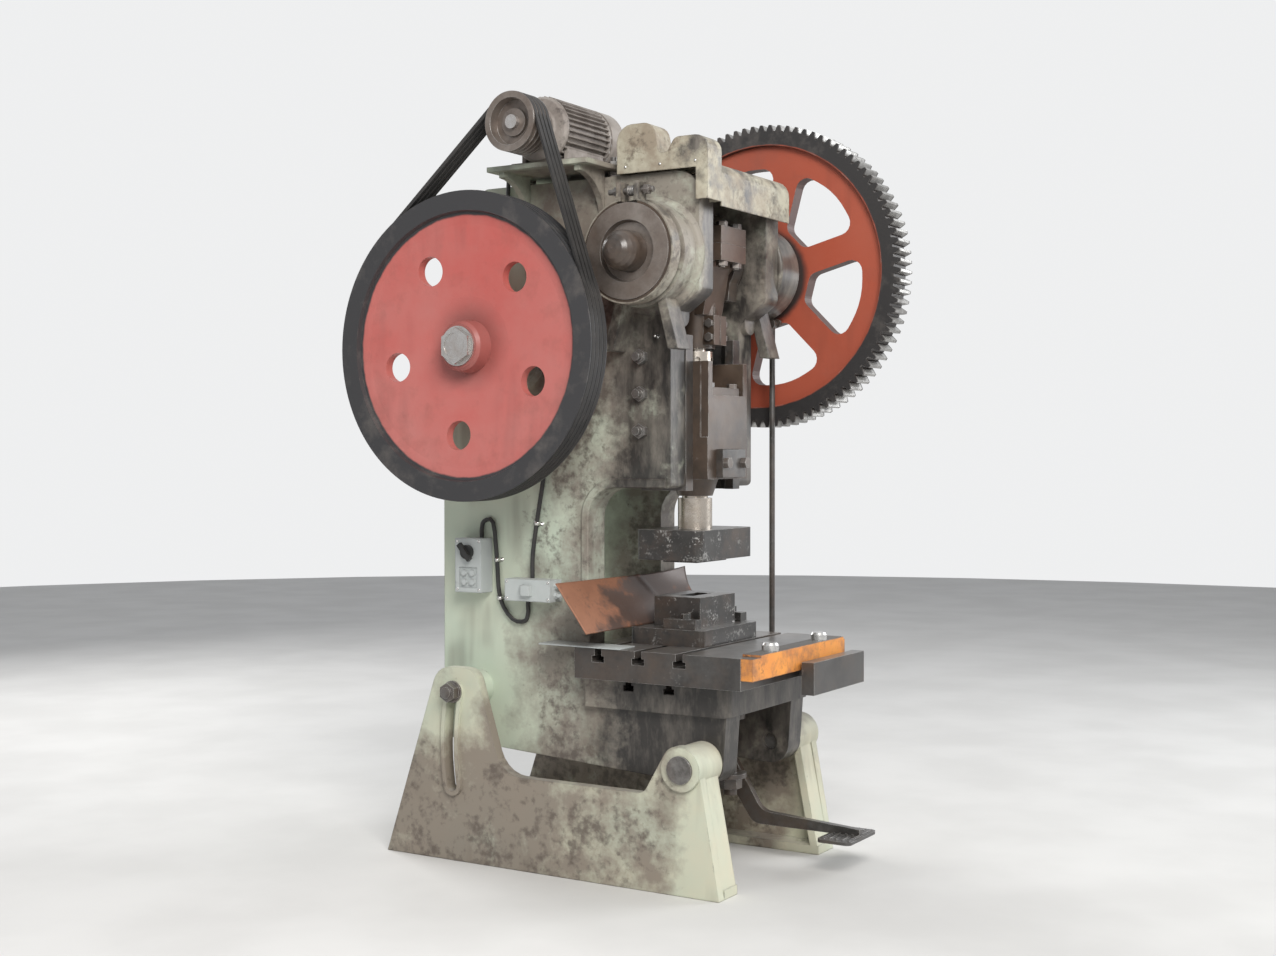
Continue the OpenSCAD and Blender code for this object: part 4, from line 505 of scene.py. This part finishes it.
# %% Flywheel finish
def wheel_paint(name, axis_y, axis_z, line, red, dusty, rim, dust_amount, hub=(0.20, 0.09, 0.45),
                hub_dirt=(0.085, 0.045, 0.038),
                tooth_line=None, seed=0.0):
    """A wheel painted inside the radius line and dark outside it. hub gives the radii between which oil
    darkens the paint, and how much. Past tooth_line steel shows on the teeth, painted shade darkens every
    face that doesn't face along the axis, the windows' walls among them, and the rubbed edges are light:
    partly worn bare metal, partly a painted highlight."""
    tree, shader, point = begin(name)
    radius = use_group(tree, "wheel_radius", {"Point": point, "Axis Y": axis_y, "Axis Z": axis_z})["Radius"]
    wobble = put(tree, "ShaderNodeTexNoise", {"Vector": point, "Scale": 18.0, "Detail": 4.0}).outputs["Fac"]
    rim_mask = step(tree, calc(tree, "ADD", radius, times(tree, wobble, 0.010)), line,
                    line + 0.008)
    dusty_mask = patch_mask(tree, point, 0.30, dust_amount, 0.45, seed)
    dirt_mask = patch_mask(tree, point, 0.10, 0.28, 0.22, seed + 3.0)
    oil_mask = times(tree, use_group(tree, "oil_runs",
                                                {"Point": point, "Width": 0.06, "Amount": 0.36,
                                                 "Edge": 0.3})["Mask"], 0.2)
    chip_mask = use_group(tree, "rubbed_edges", {"Point": point, "Reach": 0.005, "Amount": 0.34})["Mask"]
    hub_mask = times(tree, step(tree, calc(tree, "ADD", radius,
                                                      times(tree, wobble, 0.02)), hub[0],
                                           hub[1]), hub[2])
    red_side = blend_colour(tree, times(tree, dusty_mask, 0.6), rgb(*red), rgb(*dusty))
    red_side = blend_colour(tree, times(tree, dirt_mask, 0.55), red_side, rgb(0.20, 0.075, 0.055))
    red_side = blend_colour(tree, calc(tree, "MAXIMUM", oil_mask, hub_mask), red_side, rgb(*hub_dirt))
    rim_side = blend_colour(tree, dirt_mask, rgb(*rim), rgb(0.13, 0.115, 0.105))
    colour = blend_colour(tree, rim_mask, red_side, rim_side)
    # Rubbed edges: on the flywheel worn dark iron; on the gear a light colour that is partly worn bare metal
    # and partly a painted highlight along the edges.
    edge_wear_and_glint_colour = rgb(0.20, 0.17, 0.155) if tooth_line is None else rgb(0.48, 0.45, 0.42)
    colour = blend_colour(tree, times(tree, chip_mask, 0.8), colour, edge_wear_and_glint_colour)
    metal = times(tree, chip_mask, 0.5)
    roughness = step(tree, dirt_mask, 0.0, 1.0, 0.44, 0.55)
    if tooth_line is not None:
        # Painted shade: faces whose normal doesn't run along X, the windows' walls among them, get a near
        # black colour as if they stood in shade.
        facing = put(tree, "ShaderNodeTexCoord").outputs["Normal"]
        sideways = calc(tree, "ABSOLUTE", put(tree, "ShaderNodeSeparateXYZ", {0: facing}).outputs["X"])
        painted_wall_shade_mask = times(tree, step(tree, sideways, 0.40, 0.20),
                         calc(tree, "SUBTRACT", 1.0, chip_mask))
        colour = blend_colour(tree, times(tree, painted_wall_shade_mask, 0.88), colour, rgb(0.045, 0.034, 0.030))
        teeth = step(tree, radius, tooth_line, tooth_line + 0.003)
        across = put(tree, "ShaderNodeSeparateXYZ", {0: point}).outputs["X"]
        middle = times(tree, step(tree, across, 0.512, 0.524), step(tree, across, 0.624, 0.612))
        clean = patch_mask(tree, point, 0.03, 0.62, 0.3, seed + 6.0)
        bare = times(tree, times(tree, teeth, middle), clean)
        colour = blend_colour(tree, bare, colour, rgb(0.50, 0.49, 0.47))
        metal = calc(tree, "MAXIMUM", metal, times(tree, bare, 0.85))
        roughness = step(tree, bare, 0.0, 1.0, 0.46, 0.27)
    height = calc(tree, "ADD", use_group(tree, "sand_skin", {"Point": point, "Pebble": 0.006})["Height"],
                  times(tree, dirt_mask, 0.4))
    close(tree, shader, colour, roughness, metal, height, 0.28, 0.0018)


wheel_paint("flywheel_paint", 0.2515, 1.8687, 0.462, (0.50, 0.080, 0.066), (0.50, 0.25, 0.225),
            (0.036, 0.035, 0.037), 0.58)
wheel_paint("bull_gear_paint", -0.344, 2.180, 0.512, (0.36, 0.070, 0.035), (0.38, 0.125, 0.085),
            (0.026, 0.024, 0.024), 0.34,
            hub=(0.212, 0.180, 0.97), hub_dirt=(0.032, 0.028, 0.026), tooth_line=0.566, seed=5.0)

# %% [markdown]
# ## Rubber, lining, rust and plastic
# The belts are black rubber with dust in their grooves, the brake lining is woven and brown with heat,
# the chute is bare sheet with an even coat of rust and an oily dark patch, and the switch's knob and the
# cables are plain black plastic, dull with handling.

# %% Rubber and plastic
def dull(name, colour_a, colour_b, amount, rough, size, grain, seed=0.0, dust=0.3):
    """A soft or moulded surface: two close colours in patches, a fine grain and dust on top."""
    tree, shader, point = begin(name)
    mask = patch_mask(tree, point, size, amount, 0.35, seed)
    dust_mask = use_group(tree, "settled_dust", {"Point": point, "Amount": dust})["Mask"]
    colour = blend_colour(tree, mask, rgb(*colour_a), rgb(*colour_b))
    colour = blend_colour(tree, dust_mask, colour, rgb(0.25, 0.235, 0.22))
    texture = put(tree, "ShaderNodeTexNoise", {"Vector": point, "Scale": grain, "Detail": 3.0}).outputs["Fac"]
    close(tree, shader, colour, step(tree, mask, 0.0, 1.0, rough, rough + 0.15), 0.0, texture, 0.25, 0.0008)


dull("belt_rubber", (0.022, 0.021, 0.021), (0.050, 0.046, 0.043), 0.4, 0.62, 0.05, 260.0)
dull("brake_lining", (0.085, 0.058, 0.040), (0.045, 0.033, 0.026), 0.5, 0.82, 0.02, 420.0, seed=3.0)
dull("black_plastic", (0.016, 0.016, 0.016), (0.040, 0.038, 0.036), 0.35, 0.40, 0.02, 500.0, seed=6.0)
dull("cable_sheath", (0.020, 0.020, 0.021), (0.055, 0.052, 0.048), 0.4, 0.55, 0.03, 340.0, seed=9.0, dust=0.5)

# %% Rusty sheet
tree, shader, point = begin("rusty_sheet")
rust_mask = patch_mask(tree, point, 0.07, 0.5, 0.35, 2.0)
pit_mask = patch_mask(tree, point, 0.012, 0.34, 0.12, 8.0)
oily_end = step(tree, reach(tree, point, (0.6, 0.0, -1.0), -1.22, -0.98), 0.0, 1.0, 0.36, 0.60)
oil_mask = patch_mask(tree, point, 0.20, oily_end, 0.06, 12.0)
colour = blend_colour(tree, rust_mask, rgb(0.33, 0.15, 0.085), rgb(0.24, 0.105, 0.060))
colour = blend_colour(tree, times(tree, pit_mask, 0.6), colour, rgb(0.12, 0.060, 0.040))
colour = blend_colour(tree, times(tree, oil_mask, 0.85), colour, rgb(0.055, 0.040, 0.034))
sheet_rough = step(tree, oil_mask, 0.0, 1.0, 0.62, 0.34)
close(tree, shader, colour, sheet_rough, 0.12, calc(tree, "ADD", pit_mask,
                                                    times(tree, rust_mask, 0.5)), 0.3, 0.0008)
print("finishes:", len(finishes))

# %% [markdown]
# ## Each solid gets its finish
# A CAD node keeps its shape and takes a better material. The list below is the whole press, node by
# node, and the script stops if one is forgotten.

# %% Finishes of the solids
finish_of = {
    "frame_paint": ["frame_casting", "motor_plate"],
    "base_paint": ["base_casting"],
    "cover_paint": ["bearing_covers"],
    "band_paint": ["brake_band"],
    "guard_paint": ["crank_guard"],
    "motor_paint": ["motor_housing", "motor_fan_cover", "terminal_box"],
    "box_paint": ["switch_box", "control_box", "loose_plate"],
    "orange_paint": ["front_bar"],
    "slide_iron": ["slide", "ball_retainer", "connecting_rod", "rod_cap"],
    "tool_iron": ["upper_die", "lower_die_shoe", "die_block"],
    "guide_steel": ["left_gib", "right_gib", "clutch_latch", "pull_rod", "pedal_shaft", "cushion_rod",
                    "shank_clamp", "treadle"],
    "fastener_steel": ["pivot_pins", "slot_bolts", "gib_bolts", "brake_bolt", "motor_studs", "rod_bolts",
                       "slide_bolts"],
    "brake_iron": ["brake_drum", "crank_end_cap", "motor_pulley"],
    "table_steel": ["bolster_plate", "stock_rest"],
    "crank_iron": ["crankshaft"],
    "screw_steel": ["adjusting_screw", "die_shank"],
    "shaft_steel": ["intermediate_shaft", "flywheel_nut", "motor_shaft", "pinion", "clutch_key",
                    "shaft_bearings"],
    "bolt_steel": ["front_bar_bolts"],
    "bearing_bronze": ["crank_bushes", "gear_bush"],
    "flywheel_paint": ["flywheel"],
    "bull_gear_paint": ["bull_gear"],
    "belt_rubber": ["v_belts"],
    "brake_lining": ["brake_lining"],
    "black_plastic": ["switch_lever"],
    "cable_sheath": ["cable_link", "cable_motor"],
    "rusty_sheet": ["chute_sheet"],
}
dressed = set()
for finish, members in finish_of.items():
    for member in members:
        for place in nodes[member].material_slots:
            place.material = finishes[finish]
        dressed.add(member)
print("solids without a finish:", sorted(set(nodes) - dressed))
assert not set(nodes) - dressed

# %% [markdown]
# ## Surfaces from arrays
# Thin and rounded pieces are worked out as grids of points: a shape is a formula in two parameters, and
# numpy computes every point at once. Two helpers cover them all: a mesh from a grid, and a profile turned
# about a line.

# %% Helpers for surfaces
def from_grid(name, points, finish, body, loop_v=False, smooth=True):
    """A mesh from a grid of points [u, v, 3]. loop_v joins the last column to the first."""
    nu, nv = points.shape[:2]
    u, v = np.meshgrid(np.arange(nu - 1), np.arange(nv if loop_v else nv - 1), indexing="ij")
    a, b = u + 1, (v + 1) % nv
    quads = np.stack([u * nv + v, a * nv + v, a * nv + b, u * nv + b], axis=-1).reshape(-1, 4)
    mesh = bpy.data.meshes.new(name)
    mesh.vertices.add(nu * nv)
    mesh.vertices.foreach_set("co", points.reshape(-1).astype(np.float32))
    mesh.loops.add(quads.size)
    mesh.loops.foreach_set("vertex_index", quads.reshape(-1).astype(np.int32))
    mesh.polygons.add(len(quads))
    mesh.polygons.foreach_set("loop_start", np.arange(0, quads.size, 4, dtype=np.int32))
    mesh.polygons.foreach_set("use_smooth", np.full(len(quads), smooth))
    mesh.update(calc_edges=True)
    mesh.validate()
    made = bpy.data.objects.new(name, mesh)
    bpy.context.collection.objects.link(made)
    made.data.materials.append(finishes[finish])
    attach(made, body)
    return made


def square_frame(axis):
    """Two unit vectors square to axis and to each other."""
    axis = np.array(axis, float) / np.linalg.norm(axis)
    helper = np.array([0.0, 0.0, 1.0]) if abs(axis[2]) < 0.9 else np.array([0.0, 1.0, 0.0])
    first = np.cross(helper, axis)
    first = first / np.linalg.norm(first)
    return first, np.cross(axis, first), axis


def turned_piece(name, foot, axis, profile, finish, body, around=28):
    """A profile of (r, h) turned about a line: foot + h * axis + r * (cos t * e1 + sin t * e2)."""
    e1, e2, e3 = square_frame(axis)
    r, h = np.array(profile, float)[:, 0][:, None, None], np.array(profile, float)[:, 1][:, None, None]
    t = np.linspace(0.0, 2.0 * math.pi, around, endpoint=False)[None, :, None]
    points = np.array(foot) + h * e3 + r * (np.cos(t) * e1 + np.sin(t) * e2)
    return from_grid(name, points, finish, body, loop_v=True)

# %% [markdown]
# ## Fillets of the casting
# A founder never leaves a sharp corner between a wall and a boss: the sand would crumble there and the
# iron would crack. So a hollow quarter round runs round each boss. Its section is a quarter circle, and
# turning that about the boss's own line gives the whole fillet.

# %% Fillets round the bosses
def fillet(name, side, wall_x, axis_y, axis_z, boss_r, round_r):
    """The hollow quarter round: r = boss_r + round_r * (1 - sin a), h = round_r * (1 - cos a), closed against
    the boss and the wall by two straight sides just inside them."""
    a = np.linspace(0.0, math.pi / 2, 9)
    curve = np.stack([boss_r + round_r * (1.0 - np.sin(a)), round_r * (1.0 - np.cos(a))], axis=1)
    ring = np.vstack([curve, [[boss_r - 0.002, round_r], [boss_r - 0.002, -0.002],
                              [boss_r + round_r, -0.002], curve[0]]])
    e1, e2 = np.array([0.0, 1.0, 0.0]), np.array([0.0, 0.0, 1.0])
    t = np.linspace(0.0, 2.0 * math.pi, 72, endpoint=False)[None, :, None]
    r, h = ring[:, 0][:, None, None], ring[:, 1][:, None, None]
    points = np.array([side * wall_x, axis_y, axis_z]) + side * h * np.array([1.0, 0.0, 0.0]) \
        + r * (side * np.cos(t) * e1 + np.sin(t) * e2)
    return from_grid(name, points, "frame_paint", "frame", loop_v=True)


for side, tag in ((-1, "left"), (1, "right")):
    fillet(f"crank_boss_fillet_{tag}", side, 0.300, -0.344, 2.180, 0.185, 0.022)
    fillet(f"shaft_boss_fillet_{tag}", side, 0.300, 0.2515, 1.8687, 0.135, 0.020)

# %% [markdown]
# ## The rim round the throat
# The open throat is where the frame bends, so its edge is thickened by a raised rim. The rim's section runs
# up the back wall, round the upper corner and out under the jaw. At each place on that path, one number is
# the distance into the cheek and the other is the height off its face.

# %% Throat rim
def throat_rim(side):
    """A section of (inward, off) swept along the throat: path + inward * normal, off the cheek's face."""
    turn = np.linspace(0.0, math.pi / 2, 13)
    curve = np.stack([-0.190 + 0.110 * np.cos(turn), 1.260 + 0.110 * np.sin(turn)], axis=1)
    path = np.vstack([[(-0.080, 0.840)], curve, [(-0.400, 1.370)]])
    normal = np.vstack([[(1.0, 0.0)], np.stack([np.cos(turn), np.sin(turn)], axis=1), [(0.0, 1.0)]])
    section = np.array([(0.001, -0.002), (0.001, 0.006), (0.004, 0.009), (0.028, 0.009), (0.034, 0.004),
                        (0.036, -0.002)])
    inward, off = section[:, 0][None, :, None], section[:, 1][None, :]
    flat = path[:, None, :] + inward * normal[:, None, :]
    rings = np.dstack([side * (0.300 + off) + 0.0 * flat[..., 0], flat])
    middle = rings.mean(axis=1, keepdims=True).repeat(len(section), axis=1)
    points = np.concatenate([middle[:1], rings, middle[-1:]])
    return from_grid(f"throat_rim_{'left' if side < 0 else 'right'}", points[:, ::side], "frame_paint",
                     "frame", loop_v=True, smooth=False)


throat_rim(-1)
throat_rim(1)

# %% [markdown]
# ## The bent chute
# The chute that carries finished pieces away is a scrap of sheet leaned against the frame. It has been
# trodden on and bent: it bellies between its ends, has one crease, and its top corner curls forward.
# One formula over the sheet's width and slope gives those bends, and a Solidify modifier its thickness.

# %% Chute sheet
low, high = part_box("chute_sheet")
u = np.linspace(0.0, 1.0, 90)[:, None]
v = np.linspace(0.0, 1.0, 34)[None, :]
foot, top = np.array([low[1], low[2] + 0.001]), np.array([high[1] - 0.0015, high[2] - 0.004])
slope = (top - foot) / np.linalg.norm(top - foot)
outward = np.array([-slope[1], slope[0]])
belly = 0.006 * np.sin(math.pi * u) * np.sin(math.pi * v)
crease = 0.005 * np.exp(-(((u - 0.66) + 0.05 * (v - 0.5)) / 0.022) ** 2) * v
curl = 0.030 * np.clip((u - 0.70) / 0.30, 0.0, 1.0) ** 2 * np.clip((v - 0.55) / 0.45, 0.0, 1.0) ** 2
dents = 0.0015 * np.sin(9.0 * u + 3.0 * v) * np.sin(7.0 * v - 2.0 * u) * v
lift = belly + crease + curl + dents + 0.0006
along = v * np.linalg.norm(top - foot) * (1.0 - 0.035 * u)
points = np.stack([low[0] + (high[0] - low[0]) * u + 0.0 * v, foot[0] + along * slope[0] + lift * outward[0],
                   foot[1] + along * slope[1] + lift * outward[1]], axis=-1)
chute = from_grid("bent_chute", points, "rusty_sheet", "frame")
wall = chute.modifiers.new("thickness", "SOLIDIFY")
wall.thickness = 0.003
wall.offset = 0.0
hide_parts("chute_sheet")
print("chute points:", points.shape[0] * points.shape[1])

# %% [markdown]
# ## Grease nipples
# Each bearing is greased by hand through a nipple: a small hexagon, a thin neck and a round head with a
# ball in it. They stand on top of the bosses, where a grease gun can reach them.

# %% Nipples on the bosses
nipple = [(0.0, -0.003), (0.0085, -0.003), (0.0085, 0.007), (0.0055, 0.009), (0.0040, 0.016), (0.0052, 0.019),
          (0.0046, 0.023), (0.0020, 0.0245), (0.0, 0.0246)]
for tag, place, way in (("crank_left", (-0.352, -0.344, 2.365), (0, 0, 1)),
                        ("crank_right", (0.39, -0.344, 2.365), (0, 0, 1)),
                        ("shaft_left", (-0.40, 0.2515, 2.0037), (0, 0, 1)),
                        ("shaft_right", (0.40, 0.2515, 2.0037), (0, 0, 1)),
                        ("guide_left", (-0.300, -0.365, 1.90), (-1, 0, 0)),
                        ("guide_right", (0.300, -0.365, 1.90), (1, 0, 0))):
    turned_piece(f"nipple_{tag}", place, way, nipple, "bolt_steel", "frame", around=14)

# %% [markdown]
# ## Clips and screws
# The cables hang from the cheek in sheet clips. A clip's section runs flat to the cable, over it in half
# a circle and flat again. The electrical boxes, the terminal box and the guard are closed with small
# round-headed screws.

# %% Cable clips
def cable_clip(name, y, z, lean):
    """A strip over the cable at height z: a section of (s, out) swept along the cable's leaning line."""
    a = np.linspace(0.0, math.pi, 11)
    over = np.stack([-0.0092 * np.cos(a), 0.0120 + 0.0092 * np.sin(a)], axis=1)
    section = np.vstack([[(-0.022, 0.0008), (-0.0095, 0.0008)], over, [(0.0095, 0.0008), (0.022, 0.0008)]])
    run = np.array([-0.007, 0.007])[None, :, None]
    along, across = np.array([0.0, math.sin(lean), math.cos(lean)]), np.array([0.0, math.cos(lean),
                                                                               -math.sin(lean)])
    points = np.array([-0.300, y, z]) + run * along + section[:, 0][:, None, None] * across \
        + section[:, 1][:, None, None] * np.array([-1.0, 0.0, 0.0])
    made = from_grid(name, points, "bolt_steel", "frame")
    sheet = made.modifiers.new("thickness", "SOLIDIFY")
    sheet.thickness = 0.0012
    sheet.offset = 0.0
    return made


for number, (y, z, lean) in enumerate(((0.140, 1.237, -0.18), (0.0915, 1.5287, -0.10), (0.0835, 1.7487, 0.0),
                                       (0.0875, 1.9987, 0.15), (0.262, 2.370, 0.10), (0.320, 1.098, 0.10),
                                       (0.306, 0.958, 0.0))):
    cable_clip(f"cable_clip_{number + 1}", y, z, lean)

# %% Screws
screw_head = [(0.0, -0.001), (0.0052, -0.001), (0.0052, 0.0012), (0.0040, 0.0027), (0.0018, 0.0034),
              (0.0, 0.0035)]
rows = [("switch_box", (-0.370, y, z), (-1, 0, 0)) for y in (0.361, 0.459) for z in (0.989, 1.167)]
rows += [("control_box", (-0.375, y, z), (-1, 0, 0)) for y in (0.050, 0.230) for z in (0.967, 1.027)]
rows += [("terminal_box", (x, 0.212, z), (0, 1, 0)) for x in (-0.370, -0.254) for z in (2.601, 2.709)]
rows += [("crank_guard", (-0.330, y, 2.492), (-1, 0, 0)) for y in (-0.53, -0.39, -0.25)]
for number, (owner, place, way) in enumerate(rows):
    turned_piece(f"{owner}_screw_{number + 1}", place, way, screw_head, "bolt_steel", "frame", around=12)
print("screws:", len(rows))

# %% [markdown]
# ## Floor and light
# The press stands on a plain pale floor under soft light from a large lamp on the camera's side, a weaker
# one on the other side and an even sky. Their sum shows a colour about as it is written. What the camera
# and mirrors see of the sky is near white, and that part puts no light on the press.

# %% Floor
def disc(name, radius, rings, around):
    """A flat disc of rings: a point is radius times the ring's share, at the angle of its spoke."""
    share = np.linspace(0.02, 1.0, rings)[:, None]
    turn = np.linspace(0.0, 2.0 * math.pi, around, endpoint=False)[None, :]
    grid = np.stack([radius * share * np.cos(turn), radius * share * np.sin(turn), 0.0 * share * turn],
                    axis=-1)
    points = np.vstack([grid.reshape(-1, 3), [[0.0, 0.0, 0.0]]])
    ring, spoke = np.meshgrid(np.arange(rings - 1), np.arange(around), indexing="ij")
    after = (spoke + 1) % around
    quads = np.stack([ring * around + spoke, (ring + 1) * around + spoke, (ring + 1) * around + after,
                      ring * around + after], axis=-1)
    hub = np.stack([np.full(around, len(points) - 1), np.arange(around), (np.arange(around) + 1) % around],
                   axis=-1)
    mesh = bpy.data.meshes.new(name)
    mesh.from_pydata(points.tolist(), [], quads.reshape(-1, 4).tolist() + hub.tolist())
    made = bpy.data.objects.new(name, mesh)
    bpy.context.collection.objects.link(made)
    return made


floor = disc("floor", 14.0, 8, 48)
tree, shader, point = begin("floor_paint")
cloud = put(tree, "ShaderNodeTexNoise", {"Vector": point, "Scale": 1.6, "Detail": 5.0}).outputs["Fac"]
colour = blend_colour(tree, step(tree, cloud, 0.3, 0.7), rgb(0.62, 0.61, 0.59), rgb(0.68, 0.67, 0.65))
close(tree, shader, colour, 0.72, 0.0, cloud, 0.05, 0.002)
floor.data.materials.append(finishes["floor_paint"])
floor.location.z = -0.001


# %% Lamps and sky
def lamp(name, place, target, side, watts, tint=(1.0, 1.0, 1.0)):
    """A square lamp of the given side that faces target."""
    data = bpy.data.lights.new(name, "AREA")
    data.size = side
    data.energy = watts
    data.color = tint
    made = bpy.data.objects.new(name, data)
    bpy.context.collection.objects.link(made)
    away = np.array(target) - np.array(place)
    away = away / np.linalg.norm(away)
    made.location = place
    made.rotation_euler = (math.asin(away[2]) + math.pi / 2, 0.0, math.atan2(-away[0], away[1]))
    return made


lamp("key_lamp", (-4.6, -4.4, 5.2), (0.0, 0.0, 1.3), 3.4, 520.0, (1.0, 0.985, 0.96))
lamp("fill_lamp", (4.5, -4.6, 3.4), (0.0, 0.0, 1.3), 3.6, 210.0, (0.95, 0.975, 1.0))
lamp("back_lamp", (1.5, 5.6, 4.4), (0.0, 0.0, 1.5), 3.2, 240.0)

world = bpy.data.worlds.new("studio")
bpy.context.scene.world = world
world.use_nodes = True
tree = world.node_tree
tree.nodes.clear()
rays = put(tree, "ShaderNodeLightPath").outputs
seen = calc(tree, "MAXIMUM", rays["Is Camera Ray"], times(tree, rays["Is Glossy Ray"], 0.6))
seen = calc(tree, "MAXIMUM", seen, rays["Is Transmission Ray"])
light = put(tree, "ShaderNodeBackground", {"Color": rgb(0.92, 0.95, 1.0), "Strength": 0.42}).outputs[0]
show = put(tree, "ShaderNodeBackground", {"Color": rgb(0.86, 0.865, 0.87), "Strength": 1.0}).outputs[0]
both = put(tree, "ShaderNodeMixShader", {0: seen, 1: light, 2: show}).outputs[0]
tree.links.new(both, put(tree, "ShaderNodeOutputWorld").inputs[0])
